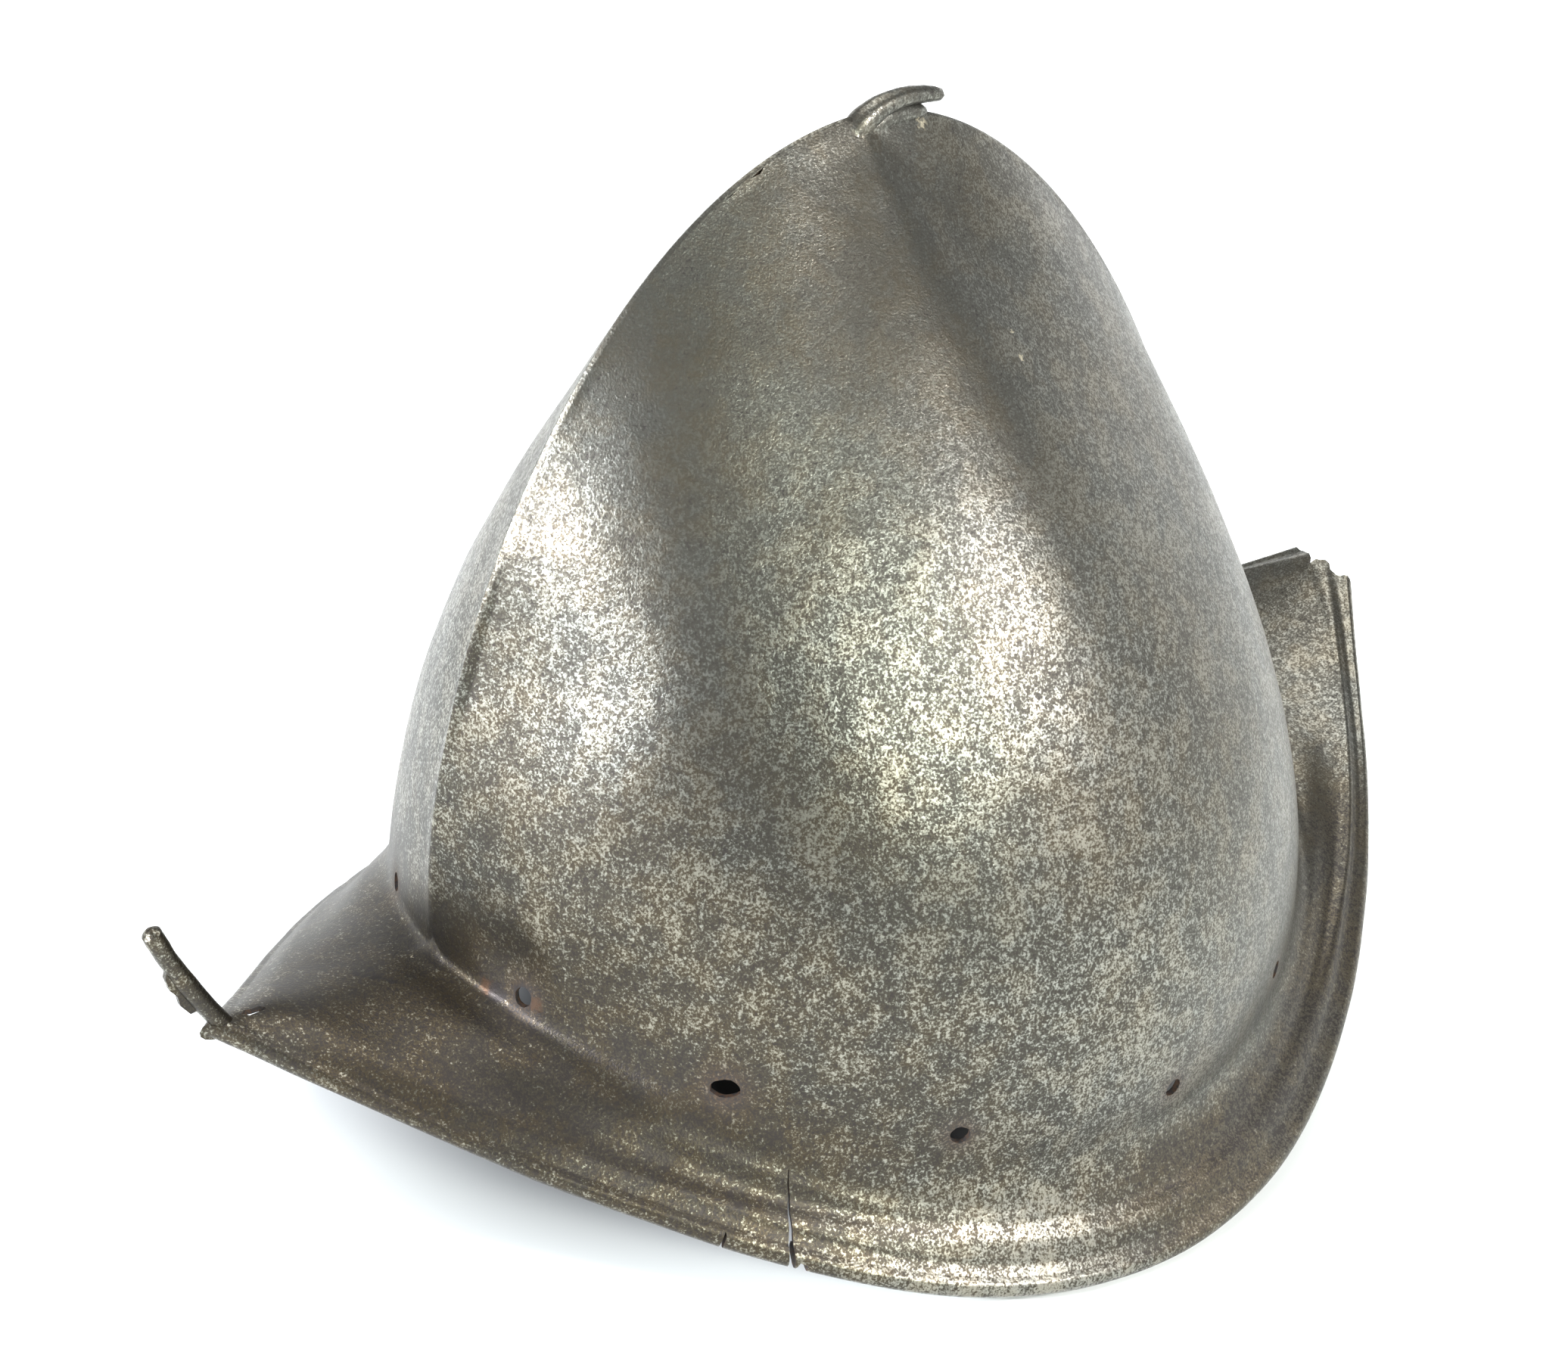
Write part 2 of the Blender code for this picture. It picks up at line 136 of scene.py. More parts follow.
# Crack, from its closed end to the edge: share of its length from the edge, shares of half its width
CRACK_SIDES = (
    (1.0, -0.12, 0.12),
    (0.86, -0.35, 0.0),
    (0.72, -0.15, 0.3),
    (0.55, -0.6, 0.1),
    (0.38, -0.5, 0.5),
    (0.22, -0.8, 0.45),
    (0.08, -0.75, 0.9),
    (-0.3, -1.0, 1.1),
)

# Torn slot just inside the front point: shares of half its width and half its length
TORN_SLOT = (
    (-1, -0.7),
    (-0.2, -1.05),
    (0.6, -1),
    (0.75, -0.3),
    (1, 0.5),
    (0.35, 0.75),
    (0, 1),
    (-0.55, 0.75),
    (-1, 0.6),
    (-0.8, 0),
)
SLOT_FROM_EDGE = 2.2

# Ragged end at the rear, from the wearer's left to right: shares of half its width and of its depth
REAR_BREAK = (
    (3.0, 0.85),
    (1.5, 0.86),
    (1.2, 0.80),
    (0.96, 0.85),
    (0.74, 0.97),
    (0.52, 0.99),
    (0.37, 0.90),
    (0.23, 0.91),
    (0.12, 1.0),
    (0.05, 1.01),
    (0.0, 1.19),
    (-0.08, 1.06),
    (-0.3, 0.93),
    (-0.56, 0.86),
    (-0.8, 0.83),
    (-1.02, 0.74),
    (-3.0, 0.70),
)

# Marks on the steel: colour that shows, place in the helmet's axes, and reach. A mark fades between
# two shares of its reach, and is a share opaque
MARKS = (
    ("oxide", (-0.0039, -0.1415, 0.0374), 0.0014),
    ("oxide", (-0.0021, -0.1401, 0.0374), 0.0010),
    ("oxide", (-0.0002, -0.1388, 0.0374), 0.0015),
    ("oxide", (0.0015, -0.1374, 0.0373), 0.0009),
    ("oxide", (0.0031, -0.1362, 0.0373), 0.0013),
    ("oxide", (0.0497, -0.1044, 0.0356), 0.0008),
    ("rust", (0.0180, -0.1202, 0.0385), 0.0024),
    ("oxide", (0.0208, -0.1194, 0.0380), 0.0030),
    ("oxide", (0.0272, -0.1165, 0.0400), 0.0034),
    ("rust", (0.0305, -0.1152, 0.0395), 0.0022),
    ("pale", (-0.0031, -0.1279, 0.0376), 0.0007),
    ("pale", (0.0341, 0.0077, 0.1710), 0.0006),
    ("pale", (0.0384, 0.0070, 0.1666), 0.0007),
    ("pale", (0.0013, 0.0056, 0.2094), 0.0018),
)
MARK_FADE, MARK_STRENGTH = (0.6, 1.1), 0.9
PALE = (0.5, 0.45, 0.33)

# Flaw along the keel near the top: its ends in the helmet's axes, and its outline as shares of the
# length from the middle and distances across
KEEL_FLAW = ((0.0003, -0.0490, 0.1990), (0.0003, -0.0345, 0.2068))
FLAW_DEPTH = 0.6  # in thicknesses of the plate
FLAW_OUTLINE = (
    (-0.5, 0),
    (-0.2, 0.0007),
    (0.1, 0.0005),
    (0.3, 0.0009),
    (0.5, 0.0001),
    (0.2, -0.0006),
    (-0.3, -0.0004),
)

# Stalk and the lap under it: shares of the length back, of the rise and of half the thickness
STALK = (
    (-0.10, -2.1, 0.9),
    (0.0, -0.7, 1.45),
    (0.14, 0.1, 1.4),
    (0.34, 0.7, 1.2),
    (0.57, 0.95, 1.0),
    (0.80, 0.85, 0.85),
    (0.93, 0.66, 0.68),
    (0.985, 0.52, 0.42),
    (1.0, 0.48, 0.12),
)
LAP = (
    (0.0, -1.7, 0.8),
    (0.20, -0.6, 1.25),
    (0.42, -0.22, 1.1),
    (0.60, -0.2, 0.95),
    (0.72, -0.28, 0.8),
    (0.78, -0.34, 0.45),
)

# Sprung end of the rolled edge: share of its length, and its bow and radius as shares of its radius
SPRUNG = (
    (-0.12, 0.6, 0.8),
    (0.0, 0.3, 0.95),
    (0.15, 0.1, 1.0),
    (0.4, 0.0, 1.05),
    (0.65, 0.1, 0.97),
    (0.85, 0.3, 1.0),
    (0.95, 0.45, 0.93),
    (0.99, 0.5, 0.7),
    (1.0, 0.5, 0.3),
)

# Torn plate still held by the sprung end: share of its length, and distance out in radii
TORN_PLATE = ((0.2, 0.4), (0.23, 1.5), (0.34, 1.75), (0.42, 1.4), (0.5, 1.6), (0.6, 1.25), (0.66, 0.5))

STALK_SEEDS, SPRUNG_SEED = (0.0, 5.0), 9.0
ROD_SIDES, ROD_STEPS, SPRUNG_STEPS = 20, 26, 30
ROD_WAVES = (4, 0.35)  # of the unevenness, round the rod and per step along it

# Where the steel is lighter, browned, shaded and rusty: strength and reach of the lighter rolled edge in
# radii of it, partly rubbed steel and partly a painted highlight; strength, station and reach of a lighter
# band on the brim, a painted reflection, and how far out it is full; distances below the crease between
# which the brim is browned; and bands of painted shade, darker and browner, up the skull's foot towards
# the front, each with its strength, reach and the stations between which it begins
RIM_WEAR_AND_SHEEN, EDGE_REACH = 0.7, 1.6
BRIM_SHEEN, SHEEN_STATION, SHEEN_REACH, SHEEN_OUT = 0.7, -0.35, 0.3, 0.02
BROWN_CREASE = (-0.004, 0.006)
FOOT_SHADE_BANDS = ((0.9, 0.022, (0.3, 0.8)), (0.405, 0.06, (0.1, 0.5)))
RUST_REACH, WORN_RUST_REACH = 0.0042, 0.0052
EDGE_SAMPLES = 721
SHARP_ANGLE = math.radians(42)

# Noise in the steel: scale, detail and roughness
FINE = (1800, 3.0, 0.6)
MIDDLING = (700, 2.0, 0.5)
CLUSTERS = (120, 3.0, 0.55)
BROAD = (26, 2.0, 0.5)
WARM_STEEL = (0.25, 0.236, 0.19)
WANDER_SCALE, WANDER = 900.0, 0.003


class CabassetSizes(bpy.types.PropertyGroup):
    """Sizes of the plate, in the helmet's own axes."""

    skull_front: FloatProperty(
        name="Skull front", description="Reach of the crease to the front", default=0.1236, unit="LENGTH"
    )
    skull_rear: FloatProperty(
        name="Skull rear", description="Reach of the crease to the rear", default=0.1182, unit="LENGTH"
    )
    skull_width: FloatProperty(
        name="Skull width", description="Width across the crease", default=0.2172, unit="LENGTH"
    )
    skull_height: FloatProperty(
        name="Skull height", description="Crease at the sides up to the apex", default=0.2127, unit="LENGTH"
    )
    apex_forward: FloatProperty(
        name="Apex forward", description="How far the apex lies forward", default=0.0109, unit="LENGTH"
    )
    crease_front: FloatProperty(
        name="Crease front", description="Rise of the crease at the front", default=0.0367, unit="LENGTH"
    )
    crease_rear: FloatProperty(
        name="Crease rear", description="Rise of the crease at the rear", default=0.0333, unit="LENGTH"
    )
    crease_reach: FloatProperty(
        name="Crease reach", description="Length of the rounded turn on each side", default=0.0075,
        unit="LENGTH",
    )
    keel_sharpness: FloatProperty(
        name="Keel sharpness", description="0 is rounded, and more is two meeting arcs", default=0.19
    )
    keel_pinch: FloatProperty(
        name="Keel pinch", description="How far the keel stands up as a ridge", default=0.001,
        unit="LENGTH",
    )
    pinch_reach: FloatProperty(
        name="Pinch reach", description="How far the ridge reaches to each side", default=0.005,
        unit="LENGTH",
    )
    wall: FloatProperty(name="Wall", description="Thickness of the plate", default=0.0014, unit="LENGTH")
    brim_width: FloatProperty(
        name="Brim width", description="Width across the rolled edge", default=0.2482, unit="LENGTH"
    )
    brim_front: FloatProperty(
        name="Brim front", description="Reach to the front point", default=0.181, unit="LENGTH"
    )
    brim_rear: FloatProperty(
        name="Brim rear", description="Reach to where the rear point was", default=0.1788, unit="LENGTH"
    )
    brim_drop: FloatProperty(
        name="Brim drop", description="Edge at the sides below the crease", default=0.0245, unit="LENGTH"
    )
    point_front: FloatProperty(
        name="Front point rise", description="Rise of the front point", default=0.0668, unit="LENGTH"
    )
    point_rear: FloatProperty(
        name="Rear point rise", description="Rise of the rear point", default=0.0874, unit="LENGTH"
    )
    ridge_height: FloatProperty(
        name="Ridge height", description="Low ridge along the brim", default=0.0013, unit="LENGTH"
    )
    ridge_place: FloatProperty(
        name="Ridge place", description="From the rolled edge in to the ridge", default=0.0085,
        unit="LENGTH",
    )
    bead_radius: FloatProperty(
        name="Rolled edge", description="Radius of the rolled edge", default=0.0027, unit="LENGTH"
    )
    stalk_length: FloatProperty(
        name="Stalk length", description="Length of the bent stalk", default=0.0246, unit="LENGTH"
    )
    stalk_rise: FloatProperty(
        name="Stalk rise", description="Rise of the bent stalk", default=0.0032, unit="LENGTH"
    )
    stalk_thickness: FloatProperty(
        name="Stalk thickness", description="Thickness of the stalk", default=0.0044, unit="LENGTH"
    )
    resting_pitch: FloatProperty(
        name="Resting pitch", description="How far it tips where it stands", default=math.radians(3.4674),
        subtype="ANGLE",
    )
    resting_shift: FloatVectorProperty(
        name="Resting shift", description="From the helmet's axes to the frame",
        default=(0.0, 0.014968, 0.025573), subtype="TRANSLATION", unit="LENGTH",
    )


class CabassetWear(bpy.types.PropertyGroup):
    """Damage to the plate."""

    lining_hole: FloatProperty(
        name="Lining hole", description="Width of a lining-rivet hole", default=0.0046, unit="LENGTH"
    )
    worn_hole: FloatProperty(
        name="Worn hole", description="Length of the hole that tore wider", default=0.0068, unit="LENGTH"
    )
    hole_height: FloatProperty(
        name="Hole height", description="Lining holes above the crease", default=0.014, unit="LENGTH"
    )
    crack_width: FloatProperty(
        name="Crack width", description="Width of the crack at the edge", default=0.0018, unit="LENGTH"
    )
    crack_length: FloatProperty(
        name="Crack length", description="Length of the crack", default=0.02, unit="LENGTH"
    )
    slot_length: FloatProperty(
        name="Slot length", description="Length of the torn slot", default=0.0055, unit="LENGTH"
    )
    slot_width: FloatProperty(
        name="Slot width", description="Width of the torn slot", default=0.0022, unit="LENGTH"
    )
    break_depth: FloatProperty(
        name="Break depth", description="Lost from the rear point", default=0.014, unit="LENGTH"
    )
    break_width: FloatProperty(
        name="Break width", description="Width of the broken rear end", default=0.022, unit="LENGTH"
    )
    dent_depth: FloatProperty(
        name="Dent depth", description="Depth of the deepest dent", default=0.0022, unit="LENGTH"
    )
    sprung_length: FloatProperty(
        name="Sprung length", description="Length of the sprung end", default=0.032, unit="LENGTH"
    )
    sprung_radius: FloatProperty(
        name="Sprung radius", description="Radius of the sprung end", default=0.0022, unit="LENGTH"
    )
    sprung_slope: FloatProperty(
        name="Sprung slope", description="Slope of the sprung end", default=math.radians(64),
        subtype="ANGLE",
    )
    hammering: FloatProperty(
        name="Hammering", description="Depth of the hammer marks", default=0.0002, unit="LENGTH"
    )


class CabassetFinish(bpy.types.PropertyGroup):
    """Colours of the steel."""

    bright: FloatVectorProperty(
        name="Rubbed steel", description="Steel where the patina is thin", default=(0.262, 0.265, 0.236),
        subtype="COLOR",
    )
    patina: FloatVectorProperty(
        name="Patina", description="Brown-grey patina", default=(0.045, 0.042, 0.034), subtype="COLOR"
    )
    brown: FloatVectorProperty(
        name="Brown patina", description="Browner patina in patches and on the brim",
        default=(0.052, 0.041, 0.026), subtype="COLOR",
    )
    oxide: FloatVectorProperty(
        name="Dark oxide", description="Dark specks and pits", default=(0.03, 0.026, 0.025),
        subtype="COLOR",
    )
    rust: FloatVectorProperty(
        name="Rust", description="Brown rust in pits, cracks and inside", default=(0.07, 0.04, 0.024),
        subtype="COLOR",
    )


class CabassetStage(bpy.types.PropertyGroup):
    """Floor, light and camera."""

    floor: FloatVectorProperty(
        name="Floor", description="Colour of the floor", default=(0.86, 0.88, 0.87), subtype="COLOR"
    )
    # Painted light: the floor glows though it is no lamp, and the glow fades to none near the helmet as a
    # painted shadow
    painted_floor_glow: FloatProperty(
        name="Floor glow", description="Light of the white table around the helmet", default=0.6
    )
    surroundings: FloatProperty(
        name="Surroundings", description="Strength of the pale surroundings", default=0.36
    )
    backdrop: FloatProperty(
        name="Backdrop", description="Strength of the surroundings low behind the helmet", default=2.0
    )
    lens: FloatProperty(name="Lens", description="Focal length on a 36 mm sensor", default=57.44)


def unit(vectors):
    return vectors / np.linalg.norm(vectors, axis=-1, keepdims=True)


def dot(a, b):
    return (a * b).sum(axis=-1, keepdims=True)


def cubic(a, b, c, d, share):
    rest = 1 - share
    return rest**3 * a + 3 * rest**2 * share * b + 3 * rest * share**2 * c + share**3 * d


def outline(name, share, inset):
    """Distance out from the middle, and height, a share of the way up one outline of the skull."""
    size = bpy.context.scene.cabasset_sizes
    lean, foot_handle, slope, apex_handle = OUTLINES[name]
    lean, slope = math.radians(lean), math.radians(slope)
    half, forward, rise = {
        "front": (size.skull_front, size.apex_forward, size.crease_front),
        "rear": (size.skull_rear, -size.apex_forward, size.crease_rear),
        "side": (size.skull_width / 2, 0.0, 0.0),
    }[name]
    top = size.skull_height - APEX_INSET * inset
    foot_arm, apex_arm = foot_handle * size.skull_height, apex_handle * half
    foot = half - inset
    out = cubic(
        foot,
        foot + foot_arm * math.sin(lean),
        forward + apex_arm * math.cos(slope),
        forward,
        share,
    )
    height = cubic(
        rise, rise + foot_arm * math.cos(lean), top - apex_arm * math.sin(slope), top, share
    )
    return out, height


def oval(station, keel):
    """Half-width share at a station from -1 to 1: an ellipse with no keel, two arcs with a sharp one."""
    inside = np.sqrt(np.maximum(1 - station**2, 0) + keel)
    return (inside - np.sqrt(keel)) / (np.sqrt(1 + keel) - np.sqrt(keel))


def skull_points(rise, turn, inset=0.0):
    """Points a share of the way up the skull, turned from the front through the wearer's left."""
    rise, turn = np.broadcast_arrays(np.asarray(rise, float), np.asarray(turn, float))
    station, side = -np.cos(turn), np.sign(np.sin(turn))
    front, rear, flank = (outline(name, rise, inset) for name in ("front", "rear", "side"))
    middle, half = (rear[0] - front[0]) / 2, (rear[0] + front[0]) / 2
    end_height = np.where(station < 0, front[1], rear[1])
    upper = np.minimum(1, rise / UPPER_SKULL)
    bend = CREASE_BEND + (CROWN_BEND - CREASE_BEND) * upper
    keel = bpy.context.scene.cabasset_sizes.keel_sharpness * upper
    return np.stack(
        [
            side * flank[0] * oval(station, keel),
            middle + half * station,
            flank[1] + (end_height - flank[1]) * np.abs(station) ** bend,
        ],
        axis=-1,
    )


def skull_normals(rise, turn):
    up = skull_points(rise + STEP, turn) - skull_points(rise, turn)
    along = skull_points(rise, turn + STEP) - skull_points(rise, turn - STEP)
    return unit(np.cross(along, up))


def edge_points(turn):
    """Outer limit of the rolled edge at a turn from the front."""
    size = bpy.context.scene.cabasset_sizes
    turn = np.asarray(turn, float)
    station, side = -np.cos(turn), np.sign(np.sin(turn))
    forward = station < 0
    reach = np.where(forward, size.brim_front, size.brim_rear)
    rise = np.where(forward, size.point_front, size.point_rear)
    bend = np.where(forward, EDGE_BEND_FRONT, EDGE_BEND_REAR)
    across = np.maximum(1 - np.abs(station) ** EDGE_FULLNESS, 0) ** EDGE_TAPER
    return np.stack(
        [
            side * size.brim_width / 2 * across,
            reach * station,
            rise * np.abs(station) ** bend - size.brim_drop,
        ],
        axis=-1,
    )


def brim_points(share, turn):
    """Points on the straight line from the crease, at 0, to the limit of the rolled edge, at 1."""
    crease = skull_points(0, turn)
    return crease + share * (edge_points(turn) - crease)


def brim_up(share, turn):
    """Direction square to the brim on its upper side."""
    along = brim_points(share, turn + STEP) - brim_points(share, turn - STEP)
    return unit(np.cross(edge_points(turn) - skull_points(0, turn), along))


def brim_frame(turn):
    """Directions outwards and upwards at the edge, and how much the rolled edge stretches in a mitre."""
    out, up = unit(edge_points(turn) - skull_points(0, turn)), brim_up(1, turn)
    square = unit(np.cross(edge_points(turn + 2 * STEP) - edge_points(turn + STEP / 5), up))
    return out, up, 1 / np.maximum(np.abs(dot(out, square)), MITRE_LIMIT)


def same_side(points, guide):
    """The points, kept from crossing the middle plane where both halves come together."""
    sign = np.sign(guide[..., 0])
    least = KEPT_SIDE * np.abs(guide[..., 0])
    points = points.copy()
    crossed = points[..., 0] * sign < least
    points[..., 0] = np.where(crossed, sign * least, points[..., 0])
    return points


def soft_step(value, low, high):
    share = np.clip((value - low) / (high - low), 0, 1)
    return share * share * (3 - 2 * share)


def bell(value, middle, reach):
    """1 in the middle, falling away smoothly over the reach."""
    return np.exp(-(((value - middle) / reach) ** 2))


def turned(above, crease, below):
    """Rounded turn from the skull to the brim."""
    share = np.linspace(0, 1, TURN_ROWS + 1)[None, :, None]
    above, crease, below = above[:, None], crease[:, None], below[:, None]
    return (1 - share) ** 2 * above + 2 * share * (1 - share) * crease + share**2 * below


def plate_swell(share, length, turn):
    """How far the brim's plate stands above the straight line: a sag, then a low ridge and groove."""
    size = bpy.context.scene.cabasset_sizes
    from_edge, place = (1 - share) * length, size.ridge_place
    ridge = bell(from_edge, place, RIDGE_REACH * place)
    groove = bell(from_edge, GROOVE_PLACE * place, GROOVE_REACH * place)
    strength = soft_step(-np.cos(turn), *RIDGE_BEGINS)
    ends = np.sin(math.pi * share) ** 0.5
    sag = -SAG * np.sin(math.pi * np.minimum(share * SAG_RUN, 1))
    return size.ridge_height * ends * (sag + strength * (RIDGE * ridge - GROOVE * groove))


def shell_grid():
    """Points of the closed skin, a column per turn: outer face, rolled edge, then the inner face."""
    size = bpy.context.scene.cabasset_sizes
    half = np.linspace(FIRST_TURN, math.pi - FIRST_TURN, COLUMNS // 2 - 1)
    turn = np.concatenate([[0], half, [math.pi], 2 * math.pi - half[::-1], [2 * math.pi]])
    crease, edge = skull_points(0, turn), edge_points(turn)
    climb = np.linalg.norm(skull_points(STEP, turn) - crease, axis=-1) / STEP
    foot = size.crease_reach / climb

    shares = np.arange(1, CROWN_ROWS) / CROWN_ROWS
    rises = 1 - shares[None] * (1 - foot[:, None])
    crown = skull_points(rises, turn[:, None])
    above, below = skull_points(foot, turn), crease + size.crease_reach * unit(edge - crease)
    bend = turned(above, crease, below)

    out, up, stretch = brim_frame(turn)
    middle = edge - size.bead_radius * (stretch * out + BEAD_SINK * up)
    angles = np.linspace(BEAD_FROM, BEAD_TO, BEAD_ROWS)[None, :, None]
    bead = middle[:, None] + size.bead_radius * (
        np.cos(angles) * (stretch * out)[:, None] + np.sin(angles) * up[:, None]
    )
    bead = same_side(bead, np.broadcast_to(edge[:, None], bead.shape))

    length = np.linalg.norm(bead[:, 0] - below, axis=-1)

    def sheet(shares):
        """Straight rows from the crease to the rolled edge, their swell, and the way they rise."""
        straight = below[:, None] + shares[..., None] * (bead[:, :1] - below[:, None])
        swell = plate_swell(shares, length[:, None], turn[:, None])[..., None]
        return straight, swell, brim_up(shares[..., None], turn[:, None])

    straight, swell, lift = sheet(np.arange(1, PLATE_ROWS)[None] / PLATE_ROWS)
    plate = straight + swell * lift

    hollow_shares = np.arange(1, HOLLOW_ROWS) / HOLLOW_ROWS
    hollow_rises = 1 - hollow_shares[None] * (1 - foot[:, None])
    hollow = same_side(
        skull_points(hollow_rises, turn[:, None], size.wall),
        skull_points(hollow_rises, turn[:, None]),
    )
    wall_out, brim_out = skull_normals(np.full_like(turn, STEP), turn), brim_up(0, turn)
    inset = size.wall * (wall_out + brim_out) / (1 + dot(wall_out, brim_out))
    under_bend = same_side(bend - inset[:, None], bend)
    clear = 1 - BEAD_CLEAR * size.bead_radius / length
    straight, swell, lift = sheet(np.arange(1, UNDERSIDE_ROWS)[None] / UNDERSIDE_ROWS * clear[:, None])
    under = same_side(straight + (swell - size.wall) * lift, straight)

    outer = np.concatenate([crown, bend, plate], axis=1)
    inner = np.concatenate([hollow, under_bend, under], axis=1)[:, ::-1]
    grid = np.concatenate([outer, bead, inner], axis=1)
    top, bottom = skull_points(1, 0.0), skull_points(1, 0.0, size.wall)
    ends = [np.broadcast_to(point, (COLUMNS + 1, 1, 3)) for point in (top, bottom)]
    return np.concatenate([ends[0], grid, ends[1]], axis=1), 1 + outer.shape[1]


def grid_normals(grid):
    """Normals of a closed grid of columns and rows."""
    ring = grid[:-1]
    across = np.roll(ring, -1, axis=0) - np.roll(ring, 1, axis=0)
    down = np.gradient(ring, axis=1)
    normals = np.cross(down, across)
    normals = normals / np.maximum(np.linalg.norm(normals, axis=2, keepdims=True), 1e-12)
    return np.concatenate([normals, normals[:1]], axis=0)


def ripple(points, size, seed):
    """Smooth noise from about -1 to 1 at each point, with waves of the given size."""
    flat = points.reshape(-1, 3) / size + seed
    values = [noise.noise(Vector(point)) for point in flat]
    return np.array(values).reshape(points.shape[:-1])


def hammered(grid, outer_rows):
    """Shift of each point by the dents, the pinched keel and the unevenness of hand-hammered plate."""
    size, wear = bpy.context.scene.cabasset_sizes, bpy.context.scene.cabasset_wear
    normals = grid_normals(grid)
    push = np.zeros(grid.shape[:2])
    for side, rise, station, cover, sunk in DENTS:
        place = skull_points(rise, side * math.acos(-station))
        distance = np.linalg.norm(grid - place, axis=2) / (cover * size.skull_front)
        fade = np.where(distance < 1, (1 - np.minimum(distance, 1) ** 2) ** 2, 0)
        push -= sunk * wear.dent_depth * fade
    for share, wave, seed in HAMMER_MARKS:
        push += share * wear.hammering * ripple(grid, wave, seed)
    push *= soft_step(np.abs(grid[..., 0]), *CALM_KEEL)
    push[:, outer_rows + BEAD_ROWS :] *= -1
    across, along, up = (grid[:, :CROWN_ROWS, axis] for axis in range(3))
    on_skull = soft_step(up - CREASE_CLIMB * np.abs(along), 0, PINCH_BEGINS)
    ridge = np.exp(-np.abs(across) / size.pinch_reach)
    push[:, :CROWN_ROWS] += on_skull * ridge * size.keel_pinch
    return push[..., None] * normals


def forge_shell():
    """The whole helmet as one closed mesh, its hollow side on a material of its own."""
    grid, outer_rows = shell_grid()
    rows = grid.shape[1]
    push = hammered(grid, outer_rows)
    drift = np.stack([ripple(grid, DRIFT_WAVE, seed) for seed in DRIFT_SEEDS], axis=-1)
    grid = grid + push + DRIFT * drift
    grid[-1] = grid[0]
    grid[:, 0], grid[:, -1] = grid[0, 0], grid[0, -1]

    mesh = bmesh.new()
    bmesh.ops.create_grid(mesh, x_segments=COLUMNS, y_segments=rows - 1, size=0.5)
    mesh.verts.ensure_lookup_table()
    for vert in mesh.verts:
        column = round((vert.co.x + 0.5) * COLUMNS)
        row = round((vert.co.y + 0.5) * (rows - 1))
        vert.co = grid[column, row]
    for face in mesh.faces:
        face.smooth = True
    hollow = outer_rows + BEAD_ROWS - 2
    for number, face in enumerate(mesh.faces):
        face.material_index = 1 if number // COLUMNS >= hollow else 0
    bmesh.ops.remove_doubles(mesh, verts=mesh.verts, dist=WELD)
    bmesh.ops.recalc_face_normals(mesh, faces=mesh.faces)
    return mesh


def add_object(name, mesh, materials=()):
    data = bpy.data.meshes.new(name)
    mesh.to_mesh(data)
    mesh.free()
    for material in materials:
        data.materials.append(material)
    item = bpy.data.objects.new(name, data)
    bpy.context.scene.collection.objects.link(item)
    return item


def smooth_path(table, samples):
    """A smooth curve through the rows of a table of numbers."""
    rows = np.array(table, float)
    length = np.concatenate([[0], np.cumsum(np.linalg.norm(np.diff(rows[:, :2], axis=0), axis=1))])
    slopes = np.gradient(rows, length, axis=0)
    places = np.linspace(0, length[-1], samples)
    found = []
    for place in places:
        k = min(int(np.searchsorted(length, place, side="right")) - 1, len(rows) - 2)
        gap = length[k + 1] - length[k]
        found.append(
            cubic(
                rows[k],
                rows[k] + slopes[k] * gap / 3,
                rows[k + 1] - slopes[k + 1] * gap / 3,
                rows[k + 1],
                (place - length[k]) / gap,
            )
        )
    return np.array(found)


def rod(path, radii, seed, rough=0.06):
    """A closed rod along a path in the middle plane, its surface a little uneven."""
    steps = len(path)
    mesh = bmesh.new()
    bmesh.ops.create_cone(
        mesh, cap_ends=True, segments=ROD_SIDES, radius1=1, radius2=1, depth=2, matrix=Matrix()
    )
    long_edges = [edge for edge in mesh.edges if abs(edge.verts[0].co.z - edge.verts[1].co.z) > 1]
    bmesh.ops.subdivide_edges(mesh, edges=long_edges, cuts=steps - 2, use_grid_fill=True)
    ahead = unit(np.gradient(path, axis=0))
    across = np.array([1.0, 0, 0])
    lift = unit(np.cross(ahead, across))
    around, onward = ROD_WAVES
    for vert in mesh.verts:
        k = round((vert.co.z + 1) / 2 * (steps - 1))
        wave = noise.noise(Vector((around * vert.co.x + seed, around * vert.co.y, onward * k)))
        radius = radii[k] * (1 + rough * wave)
        vert.co = path[k] + radius * (vert.co.x * across + vert.co.y * lift[k])
    for face in mesh.faces:
        face.smooth = True
    bmesh.ops.recalc_face_normals(mesh, faces=mesh.faces)
    return mesh


def prism(centre, across, outward, points, depth):
    """A cutter: an outline drawn on two directions of the plate, run through it both ways."""
    centre, across, outward = (Vector(vector) for vector in (centre, across, outward))
    through = across.cross(outward).normalized()
    mesh = bmesh.new()
    ring = bmesh.ops.create_circle(mesh, cap_ends=True, segments=len(points), radius=1)["verts"]
    for vert, (x, y) in zip(ring, points):
        vert.co = centre + x * across + y * outward - depth * through
    grown = bmesh.ops.extrude_face_region(mesh, geom=mesh.faces[:])
    moved = [item for item in grown["geom"] if isinstance(item, bmesh.types.BMVert)]
    bmesh.ops.translate(mesh, verts=moved, vec=2 * depth * through)
    bmesh.ops.recalc_face_normals(mesh, faces=mesh.faces)
    return mesh


